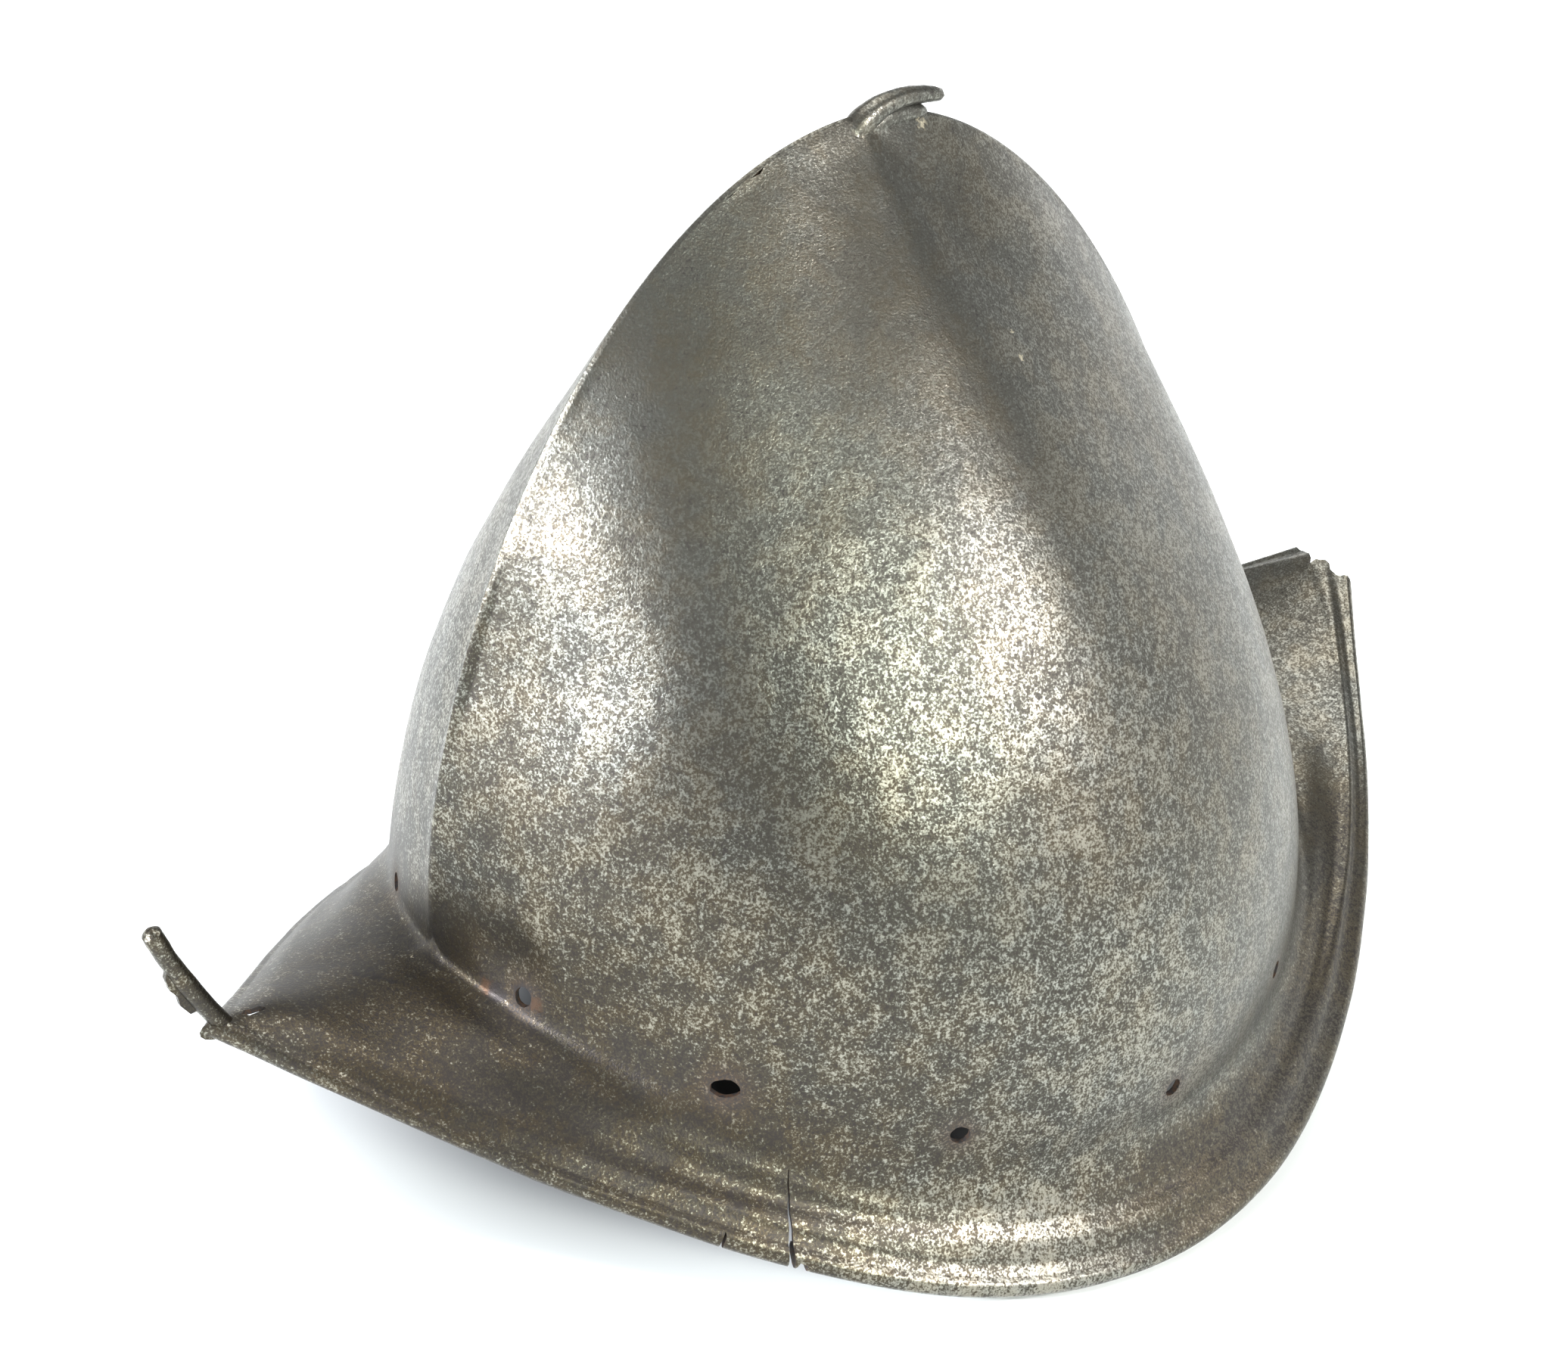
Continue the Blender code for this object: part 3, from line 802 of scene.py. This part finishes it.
def hole_places():
    """Place, directions across and up, and normal of each lining-rivet hole, and whether it is worn."""
    wear = bpy.context.scene.cabasset_wear
    found = []
    for side in (1, -1):
        for number, station in enumerate(HOLE_STATIONS):
            turn = side * math.acos(-station)
            climb = np.linalg.norm(skull_points(STEP, turn) - skull_points(0, turn)) / STEP
            rise = wear.hole_height / climb
            up = unit(skull_points(rise + STEP, turn) - skull_points(rise, turn))
            out = skull_normals(rise, turn)
            across = unit(np.cross(out, up))
            worn = side == 1 and number == WORN_STATION
            found.append((skull_points(rise, turn), across, up, out, worn))
    return found


def crack_place(station):
    turn = math.acos(-station)
    along = unit(edge_points(turn + STEP) - edge_points(turn - STEP))
    return edge_points(turn), along, np.cross(along, brim_up(1, turn))


def cutters():
    """Every hole, crack and break as one mesh of separate cutters."""
    size, wear = bpy.context.scene.cabasset_sizes, bpy.context.scene.cabasset_wear
    made = []
    for number, (place, across, up, _, worn) in enumerate(hole_places()):
        width = wear.worn_hole if worn else wear.lining_hole
        rough = WORN_HOLE_RAGGED if worn else HOLE_RAGGED
        points = []
        for corner in range(HOLE_CORNERS):
            angle = 2 * math.pi * corner / HOLE_CORNERS
            x, y = math.cos(angle), math.sin(angle)
            ragged = 1 + rough * noise.noise(Vector((RAGGED_WAVES * x, RAGGED_WAVES * y, number)))
            points.append((width / 2 * ragged * x, wear.lining_hole / 2 * ragged * y))
        made.append(prism(place, across, up, points, THROUGH * size.wall))
    place, along, outward = crack_place(CRACK_STATION)
    half, length = wear.crack_width / 2, wear.crack_length
    left = [(x * half + CRACK_LEAN * y * length, -y * length) for y, x, _ in CRACK_SIDES]
    right = [(x * half + CRACK_LEAN * y * length, -y * length) for y, _, x in CRACK_SIDES]
    made.append(prism(place, along, outward, left + right[::-1], THROUGH * size.bead_radius))
    for station, wide, into in NICKS:
        place, along, outward = crack_place(station)
        half, deep = wide * wear.crack_width, into * size.bead_radius
        nick = [
            (-half / 2, -deep),
            (half / 3, -0.8 * deep),
            (half, size.bead_radius),
            (-half, size.bead_radius),
        ]
        made.append(prism(place, along, outward, nick, THROUGH * size.bead_radius))
    low, high = (Vector(place) for place in KEEL_FLAW)
    along = (high - low).normalized()
    flaw = [(x, y * (high - low).length) for y, x in FLAW_OUTLINE]
    made.append(prism((low + high) / 2, (1, 0, 0), along, flaw, FLAW_DEPTH * size.wall))
    out, _, stretch = brim_frame(np.array([0.0]))
    inwards = SLOT_FROM_EDGE * size.bead_radius * stretch[0, 0] + wear.slot_length / 2
    torn = [(x * wear.slot_width / 2, y * wear.slot_length / 2) for x, y in TORN_SLOT]
    place = edge_points(0.0) - inwards * out[0]
    made.append(prism(place, (1, 0, 0), out[0], torn, THROUGH * size.bead_radius))
    half = wear.break_width / 2
    edge = [(x * half, size.brim_rear - lost * wear.break_depth) for x, lost in REAR_BREAK]
    beyond = size.brim_rear + wear.break_depth
    lost = edge + [(edge[-1][0], beyond), (edge[0][0], beyond)]
    made.append(
        prism((0, 0, edge_points(math.pi)[2]), (1, 0, 0), (0, 1, 0), lost, size.point_rear / 2)
    )
    joined = bmesh.new()
    for mesh in made:
        data = bpy.data.meshes.new("cutter")
        mesh.to_mesh(data)
        mesh.free()
        joined.from_mesh(data)
        bpy.data.meshes.remove(data)
    return joined


def combine(body, other, operation):
    """Joins or cuts the body with another object, for good, and removes that object."""
    modifier = body.modifiers.new(operation.lower(), "BOOLEAN")
    modifier.operation = operation
    modifier.solver = "EXACT"
    modifier.material_mode = "TRANSFER"
    modifier.object = other
    graph = bpy.context.evaluated_depsgraph_get()
    made = bpy.data.meshes.new_from_object(body.evaluated_get(graph), depsgraph=graph)
    body.modifiers.clear()
    old = body.data
    body.data = made
    bpy.data.meshes.remove(old)
    bpy.data.objects.remove(other)


def helmet():
    return bpy.data.objects["helmet"]


def standing():
    """From the helmet's axes to where it stands on the floor."""
    size = bpy.context.scene.cabasset_sizes
    return Matrix.Translation(size.resting_shift) @ Matrix.Rotation(size.resting_pitch, 4, "X")


def new_material(name, colour):
    material = bpy.data.materials.new(name)
    material.use_nodes = True
    material.diffuse_color = (*colour, 1)
    return material


class Nodes:
    """Short calls for building the nodes of a material or of the world."""

    def __init__(self, owner, shader="Principled BSDF", coords="Object"):
        self.tree = owner.node_tree
        self.shader = self.tree.nodes[shader]
        self.coords = self.tree.nodes.new("ShaderNodeTexCoord").outputs[coords]

    def put(self, kind, inputs=(), **settings):
        node = self.tree.nodes.new(kind)
        for name, value in settings.items():
            setattr(node, name, value)
        for name, value in dict(inputs).items():
            self.link(value, node.inputs[name])
        return node

    def link(self, value, socket):
        if isinstance(value, bpy.types.NodeSocket):
            self.tree.links.new(value, socket)
        else:
            socket.default_value = (*value, 1) if socket.type == "RGBA" else value

    def noise(self, scale, detail, roughness):
        inputs = {"Vector": self.coords, "Scale": scale, "Detail": detail, "Roughness": roughness}
        return self.put("ShaderNodeTexNoise", inputs).outputs["Fac"]

    def ramp(self, value, low, high, out_low=0.0, out_high=1.0):
        inputs = enumerate((value, low, high, out_low, out_high))
        return self.put("ShaderNodeMapRange", inputs, interpolation_type="SMOOTHSTEP").outputs["Result"]

    def maths(self, operation, a, b=0.0, clamp=False):
        return self.put("ShaderNodeMath", {0: a, 1: b}, operation=operation, use_clamp=clamp).outputs[0]

    def add_share(self, total, value, share):
        return self.maths("ADD", total, self.maths("MULTIPLY", value, share))

    def vector(self, operation, *values):
        """A vector operation, as a number where it gives one."""
        number = operation in ("DISTANCE", "DOT_PRODUCT", "LENGTH")
        node = self.put("ShaderNodeVectorMath", enumerate(values), operation=operation)
        return node.outputs["Value" if number else "Vector"]

    def blend(self, share, a, b):
        """A mix of two numbers."""
        return self.put("ShaderNodeMix", {0: share, 2: a, 3: b}).outputs[0]

    def mix(self, share, a, b):
        """A mix of two colours."""
        return self.put("ShaderNodeMix", {0: share, 6: a, 7: b}, data_type="RGBA").outputs[2]

    def attribute(self, name):
        return self.put("ShaderNodeAttribute", attribute_name=name).outputs["Fac"]

    def bump(self, height, distance, strength, normal=None):
        inputs = {"Height": height, "Distance": distance, "Strength": strength}
        if normal is not None:
            inputs["Normal"] = normal
        return self.put("ShaderNodeBump", inputs).outputs["Normal"]


def marked(nodes, colour):
    """The colour with the ragged marks laid over it."""
    wander = nodes.put("ShaderNodeTexNoise", {"Vector": nodes.coords, "Scale": WANDER_SCALE})
    ragged = nodes.vector("MULTIPLY_ADD", wander.outputs["Color"], (WANDER,) * 3, nodes.coords)
    finish = bpy.context.scene.cabasset_finish
    shown = {"oxide": finish.oxide, "rust": finish.rust, "pale": PALE}
    for kind, place, reach in MARKS:
        centre = standing() @ Vector(place) + Vector((WANDER / 2,) * 3)
        gap = nodes.vector("DISTANCE", ragged, centre)
        share = nodes.ramp(gap, *(end * reach for end in MARK_FADE), MARK_STRENGTH, 0.0)
        colour = nodes.mix(share, colour, shown[kind])
    return colour


def patinated_steel():
    """Brown-grey patina with fine bright specks, lighter and browner where the attributes say: lighter for
    rubbed steel and a painted highlight on the rim and a painted reflection on the brim, darker and browner
    for brown patina on the brim and painted shade on the skull's foot.
    """
    finish = bpy.context.scene.cabasset_finish
    material = new_material("patinated_steel", finish.patina)
    nodes = Nodes(material)
    fine, middling, clusters, broad = (nodes.noise(*kind) for kind in (FINE, MIDDLING, CLUSTERS, BROAD))
    worn, corroded, browned_and_shaded = (nodes.attribute(name) for name in ("worn", "corroded", "browned_and_shaded"))

    grain = nodes.add_share(fine, nodes.maths("SUBTRACT", middling, 0.5), 0.5)
    grain = nodes.add_share(grain, nodes.maths("SUBTRACT", clusters, 0.5), 0.3)
    # Lighter where worn: rubbed steel and a painted highlight on the rim, and a painted reflection on the
    # brim band
    grain = nodes.add_share(grain, worn, 0.12)
    # Darker where browned: brown patina on the brim, and painted shade on the skull's foot
    grain = nodes.add_share(grain, browned_and_shaded, -0.17)

    # The specks are evened out towards the rear and the crown
    place = nodes.put("ShaderNodeSeparateXYZ", {"Vector": nodes.coords}).outputs
    rearward, upward = nodes.ramp(place["Y"], -0.02, 0.06), nodes.ramp(place["Z"], 0.12, 0.2)
    dulled = nodes.maths("ADD", rearward, upward, clamp=True)
    patch = nodes.blend(nodes.maths("MULTIPLY", dulled, 0.42), nodes.ramp(grain, 0.42, 0.68), 0.3)

    # The browned attribute also warms the colour: brown patina on the brim, painted shade on the skull's
    # foot
    warmth, more = nodes.ramp(clusters, 0.42, 0.62, 0.0, 0.5), nodes.maths("MULTIPLY", browned_and_shaded, 0.4)
    warmth = nodes.maths("ADD", warmth, more, clamp=True)
    warmth = nodes.maths("ADD", warmth, nodes.ramp(broad, 0.42, 0.6, 0.0, 0.35), clamp=True)
    dark = nodes.mix(warmth, finish.patina, finish.brown)
    colour = nodes.mix(patch, dark, nodes.mix(warmth, finish.bright, WARM_STEEL))
    colour = nodes.mix(nodes.ramp(grain, 0.26, 0.38, 0.8, 0.0), colour, finish.oxide)
    rusty = nodes.maths("MULTIPLY", corroded, nodes.ramp(middling, 0.35, 0.6, 0.6, 1.0))
    rust = nodes.mix(nodes.ramp(fine, 0.4, 0.6), finish.oxide, finish.rust)
    colour = marked(nodes, nodes.mix(rusty, colour, rust))
    nodes.link(colour, nodes.shader.inputs["Base Color"])

    metal = nodes.ramp(grain, 0.34, 0.56, 0.82, 1.0)
    metal = nodes.maths("SUBTRACT", metal, nodes.maths("MULTIPLY", rusty, 0.5), clamp=True)
    nodes.link(metal, nodes.shader.inputs["Metallic"])
    rough = nodes.ramp(grain, 0.38, 0.64, 0.42, 0.29)
    rough = nodes.maths("ADD", rough, nodes.maths("MULTIPLY", rusty, 0.25), clamp=True)
    nodes.link(rough, nodes.shader.inputs["Roughness"])

    normal = nodes.bump(fine, 0.0001, 0.8)
    normal = nodes.bump(clusters, 0.0004, 0.3, normal)
    nodes.link(normal, nodes.shader.inputs["Normal"])
    return material


def hollow_steel():
    """The inner face: brown and dull, with dark stains."""
    finish = bpy.context.scene.cabasset_finish
    material = new_material("hollow_steel", finish.rust)
    nodes = Nodes(material)
    fine, clusters = nodes.noise(620, 4.0, 0.6), nodes.noise(90, 4.0, 0.6)
    colour = nodes.mix(nodes.ramp(clusters, 0.4, 0.62), finish.patina, finish.rust)
    colour = nodes.mix(nodes.ramp(fine, 0.42, 0.58, 0.8, 0.0), colour, finish.oxide)
    nodes.link(colour, nodes.shader.inputs["Base Color"])
    nodes.shader.inputs["Metallic"].default_value = 0.6
    nodes.link(nodes.ramp(fine, 0.35, 0.65, 0.72, 0.5), nodes.shader.inputs["Roughness"])
    nodes.link(nodes.bump(fine, 0.00015, 0.8), nodes.shader.inputs["Normal"])
    return material


def torn_steel():
    """Broken faces of the plate: rusty brown and rough."""
    finish = bpy.context.scene.cabasset_finish
    material = new_material("torn_steel", finish.rust)
    nodes = Nodes(material)
    fine = nodes.noise(900, 3.0, 0.6)
    colour = nodes.mix(nodes.ramp(fine, 0.4, 0.6), finish.oxide, finish.rust)
    nodes.link(colour, nodes.shader.inputs["Base Color"])
    nodes.shader.inputs["Metallic"].default_value = 0.35
    nodes.shader.inputs["Roughness"].default_value = 0.7
    nodes.link(nodes.bump(fine, 0.0002, 0.8), nodes.shader.inputs["Normal"])
    return material


def wear_zones(points):
    """How lighter, corroded, browned and shaded the steel is at each point, from 0 to 1; the lighter rim is
    partly rubbed steel and partly a painted highlight, the lighter brim band is a painted reflection, and
    the darker foot of the skull is painted shade.
    """
    size = bpy.context.scene.cabasset_sizes
    to_rim = np.full(len(points), 1.0)
    for point in edge_points(np.linspace(0, 2 * math.pi, EDGE_SAMPLES)):
        to_rim = np.minimum(to_rim, np.linalg.norm(points - point, axis=1))
    # The rolled edge is lighter: partly rubbed steel, and partly a painted highlight along the bead
    on_rim = RIM_WEAR_AND_SHEEN * bell(to_rim, 0, EDGE_REACH * size.bead_radius)

    crease = np.array([skull_points(0, turn)[2] for turn in np.arctan2(points[:, 0], -points[:, 1])])
    below = crease - points[:, 2]
    on_brim = soft_step(below, *BROWN_CREASE)
    station = points[:, 1] / size.skull_front
    # A lighter, more metallic band on the outer brim: a painted reflection
    painted_sheen = bell(station, SHEEN_STATION, SHEEN_REACH) * on_brim
    painted_sheen = painted_sheen * soft_step(points[:, 0], 0, SHEEN_OUT)
    browned_and_shaded = on_brim * (1 - painted_sheen)
    # Painted shade: bands up the skull's foot towards the front, darker and browner near the crease
    for share, reach, stations in FOOT_SHADE_BANDS:
        browned_and_shaded = np.maximum(browned_and_shaded, share * bell(below, 0, reach) * soft_step(-station, *stations))

    corroded = np.zeros(len(points))
    for place, _, _, _, worn in hole_places():
        distance = np.linalg.norm(points - place, axis=1)
        corroded = np.maximum(corroded, bell(distance, 0, WORN_RUST_REACH if worn else RUST_REACH))
    # worn: rubbed steel and a painted highlight on the rim, and a painted reflection on the brim band;
    # browned: brown patina on the brim, and painted shade on the skull's foot
    return {
        "worn": np.clip(on_rim + BRIM_SHEEN * painted_sheen, 0, 1),
        "corroded": corroded,
        "browned_and_shaded": np.clip(browned_and_shaded, 0, 1),
    }


class CABASSET_OT_shell(bpy.types.Operator):
    """Forge the skull, brim and rolled edge as one plate"""

    bl_idname = "cabasset.shell"
    bl_label = "Forge shell"

    def execute(self, context):
        materials = [patinated_steel(), hollow_steel(), torn_steel()]
        add_object("helmet", forge_shell(), materials)
        return {"FINISHED"}


class CABASSET_OT_stalk(bpy.types.Operator):
    """Draw out the stalk at the apex and fold the lap under it"""

    bl_idname = "cabasset.stalk"
    bl_label = "Draw stalk"

    def execute(self, context):
        size = context.scene.cabasset_sizes
        foot = skull_points(1, 0.0)
        for number, table in enumerate((STALK, LAP)):
            steps = smooth_path(table, ROD_STEPS)
            path = foot + np.stack(
                [np.zeros(len(steps)), steps[:, 0] * size.stalk_length, steps[:, 1] * size.stalk_rise],
                axis=-1,
            )
            piece = rod(path, steps[:, 2] * size.stalk_thickness / 2, STALK_SEEDS[number])
            combine(helmet(), add_object("stalk_stock", piece, helmet().data.materials), "UNION")
        return {"FINISHED"}


class CABASSET_OT_sprung_edge(bpy.types.Operator):
    """Spring the broken end of the rolled edge up from the front point, with the plate it still holds"""

    bl_idname = "cabasset.sprung_edge"
    bl_label = "Spring edge"

    def execute(self, context):
        size, wear = context.scene.cabasset_sizes, context.scene.cabasset_wear
        out, _, stretch = brim_frame(np.array([0.0]))
        foot = edge_points(0.0) - size.bead_radius * stretch[0, 0] * out[0]
        slope = wear.sprung_slope
        along = np.array([0, -math.cos(slope), math.sin(slope)])
        back = np.array([0, math.sin(slope), math.cos(slope)])
        steps = smooth_path(SPRUNG, SPRUNG_STEPS)
        path = foot + steps[:, :1] * wear.sprung_length * along + steps[:, 1:2] * wear.sprung_radius * back
        piece = rod(path, steps[:, 2] * wear.sprung_radius, SPRUNG_SEED, rough=0.05)
        combine(helmet(), add_object("sprung_stock", piece, helmet().data.materials), "UNION")
        torn = [(-far * wear.sprung_radius, share * wear.sprung_length) for share, far in TORN_PLATE]
        plate = prism(foot, back, along, torn, size.wall / 2)
        combine(helmet(), add_object("torn_stock", plate, helmet().data.materials), "UNION")
        return {"FINISHED"}


class CABASSET_OT_damage(bpy.types.Operator):
    """Cut the lining holes, crack, nicks, torn slot and broken rear end"""

    bl_idname = "cabasset.damage"
    bl_label = "Cut damage"

    def execute(self, context):
        cutter = add_object("cutter", cutters(), [bpy.data.materials["torn_steel"]])
        combine(helmet(), cutter, "DIFFERENCE")
        return {"FINISHED"}


class CABASSET_OT_patina(bpy.types.Operator):
    """Mark where the steel is lighter, browned, shaded and corroded, with painted highlight, reflection and
    shade among them, stand the helmet down and hand it to the frame
    """

    bl_idname = "cabasset.patina"
    bl_label = "Finish steel"

    def execute(self, context):
        item = helmet()
        data = item.data
        points = np.empty(len(data.vertices) * 3)
        data.vertices.foreach_get("co", points)
        for name, values in wear_zones(points.reshape(-1, 3)).items():
            layer = data.attributes.new(name, "FLOAT", "POINT")
            layer.data.foreach_set("value", values.astype(np.float32))

        data.transform(standing())
        data.shade_smooth()
        data.set_sharp_from_angle(angle=SHARP_ANGLE)
        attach(item, "root")
        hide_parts("helmet_shell")
        return {"FINISHED"}


# Lights: direction from the helmet's middle in degrees round from the front and up, distance,
# width and height in metres, power in watts, and colour
LIGHTS = (
    ("front_window", -3, 20, 1.5, 0.18, 0.12, 44, (0.9, 0.93, 1.0)),
    ("side_lamp", 107, 33, 1.4, 0.14, 0.14, 13, (1.0, 0.98, 1.0)),
    ("side_window", 78, 28, 1.5, 0.42, 0.24, 14, (0.95, 1.0, 0.92)),
    ("overhead", -120, 78, 2.5, 1.6, 1.6, 38, (1.0, 1.0, 1.0)),
)
LIT_PLACE = (0.03, -0.02, 0.12)
CAMERA_PLACE = (0.41098, -0.3547, 0.37605)
CAMERA_AZIMUTH, CAMERA_ELEVATION, CAMERA_ROLL = 50.477, 27.055, 4.965
SENSOR_WIDTH = 36
NEAREST = 0.01

# Floor: half its side, and distances from the middle in shares of the helmet's half size between
# which it goes from its colour in painted shadow to its own colour, and from no glow to its full glow. The
# glow is painted light, and its fade near the helmet is a painted shadow
FLOOR_HALF = 6
SHADED_FLOOR = 0.06
FLOOR_SHADE, PAINTED_GLOW_REACH = (0.4, 0.8), (0.85, 1.8)

# Surroundings: colour, and the two directions towards which they dim, each with its azimuth and
# elevation and the shares of it between which they do
ROOM = (0.97, 0.99, 1.0)
DIMMED = ((0, 90, 0.2, 0.62), (30, 0, 0.1, 0.7))


def direction(azimuth, elevation):
    azimuth, elevation = math.radians(azimuth), math.radians(elevation)
    return Vector(
        (
            math.sin(azimuth) * math.cos(elevation),
            -math.cos(azimuth) * math.cos(elevation),
            math.sin(elevation),
        )
    )


def pale_floor(stage):
    """The floor's material: pale and glowing a little, with a painted shadow under and around the helmet,
    where its colour darkens and its glow fades out.
    """
    material = new_material("pale_floor", stage.floor)
    nodes = Nodes(material)
    # Painted shadow: the floor's colour darkens under the helmet
    shaded = SHADED_FLOOR * Vector(stage.floor)
    shares = nodes.vector("MULTIPLY", nodes.coords, (1 / cad_high.x, 1 / cad_high.y, 0))
    away = nodes.vector("LENGTH", shares)
    for name, value in (
        ("Roughness", 0.95),
        ("Specular IOR Level", 0.1),
        ("Emission Color", stage.floor),
        # The glow is painted light, and its fade to none near the helmet is a painted shadow
        ("Emission Strength", nodes.ramp(away, *PAINTED_GLOW_REACH, 0.0, stage.painted_floor_glow)),
        # Base colour: a painted shadow under the helmet
        ("Base Color", nodes.mix(nodes.ramp(away, *FLOOR_SHADE), shaded, stage.floor)),
    ):
        nodes.link(value, nodes.shader.inputs[name])
    return material


def pale_room(stage):
    """The world: brightest low behind the helmet, as seen from the camera."""
    world = bpy.data.worlds.new("pale_room")
    world.use_nodes = True
    nodes = Nodes(world, "Background", "Generated")
    upward, sideward = (
        nodes.ramp(nodes.vector("DOT_PRODUCT", nodes.coords, direction(*towards)), low, high, 1, 0)
        for *towards, low, high in DIMMED
    )
    lit = nodes.maths("MULTIPLY", upward, sideward)
    lit = nodes.maths("MULTIPLY", lit, stage.backdrop - stage.surroundings)
    nodes.link(ROOM, nodes.shader.inputs["Color"])
    nodes.link(nodes.maths("ADD", lit, stage.surroundings), nodes.shader.inputs["Strength"])
    return world


def stand_up(name, data, place, towards, roll=0.0):
    """A lamp or camera at a place, looking against a direction."""
    item = bpy.data.objects.new(name, data)
    item.location = place
    item.rotation_mode = "QUATERNION"
    level = (-towards).to_track_quat("-Z", "Y")
    item.rotation_quaternion = level @ Quaternion((0, 0, 1), math.radians(roll))
    bpy.context.scene.collection.objects.link(item)
    return item


class CABASSET_OT_stage(bpy.types.Operator):
    """Lay the pale floor and set the lights and the camera"""

    bl_idname = "cabasset.stage"
    bl_label = "Set stage"

    def execute(self, context):
        scene, stage = context.scene, context.scene.cabasset_stage
        mesh = bmesh.new()
        bmesh.ops.create_grid(mesh, x_segments=1, y_segments=1, size=FLOOR_HALF)
        add_object("floor", mesh, [pale_floor(stage)])

        for name, azimuth, elevation, distance, width, height, power, colour in LIGHTS:
            data = bpy.data.lights.new(name, "AREA")
            data.shape = "RECTANGLE"
            data.size, data.size_y = width, height
            data.energy = power
            data.color = colour
            towards = direction(azimuth, elevation)
            stand_up(name, data, Vector(LIT_PLACE) + distance * towards, towards)

        data = bpy.data.cameras.new("camera")
        data.sensor_width = SENSOR_WIDTH
        data.lens = stage.lens
        data.clip_start = NEAREST
        towards = direction(CAMERA_AZIMUTH, CAMERA_ELEVATION)
        scene.camera = stand_up("camera", data, CAMERA_PLACE, towards, CAMERA_ROLL)
        scene.world = pale_room(stage)
        scene.view_settings.view_transform = "Standard"
        return {"FINISHED"}


class CABASSET_PT_panel(bpy.types.Panel):
    """Sizes, wear, finish and stage, with a button for each step"""

    bl_idname = "CABASSET_PT_panel"
    bl_label = "Cabasset"
    bl_space_type = "VIEW_3D"
    bl_region_type = "UI"
    bl_category = "Cabasset"

    def draw(self, context):
        for step in OPERATORS:
            self.layout.operator(step.bl_idname)
        for group in GROUPS:
            settings = getattr(context.scene, GROUPS[group])
            for name in settings.bl_rna.properties.keys():
                if name not in ("rna_type", "name"):
                    self.layout.prop(settings, name)


GROUPS = {
    CabassetSizes: "cabasset_sizes",
    CabassetWear: "cabasset_wear",
    CabassetFinish: "cabasset_finish",
    CabassetStage: "cabasset_stage",
}
OPERATORS = (
    CABASSET_OT_shell,
    CABASSET_OT_stalk,
    CABASSET_OT_sprung_edge,
    CABASSET_OT_damage,
    CABASSET_OT_patina,
    CABASSET_OT_stage,
)


def register():
    for kind in (*GROUPS, *OPERATORS, CABASSET_PT_panel):
        bpy.utils.register_class(kind)
    for group, name in GROUPS.items():
        setattr(bpy.types.Scene, name, PointerProperty(type=group))


def unregister():
    for name in GROUPS.values():
        delattr(bpy.types.Scene, name)
    for kind in reversed((*GROUPS, *OPERATORS, CABASSET_PT_panel)):
        bpy.utils.unregister_class(kind)


def main():
    register()
    bpy.ops.cabasset.shell()
    bpy.ops.cabasset.stalk()
    bpy.ops.cabasset.sprung_edge()
    bpy.ops.cabasset.damage()
    bpy.ops.cabasset.patina()
    bpy.ops.cabasset.stage()


if __name__ == "__main__":
    main()
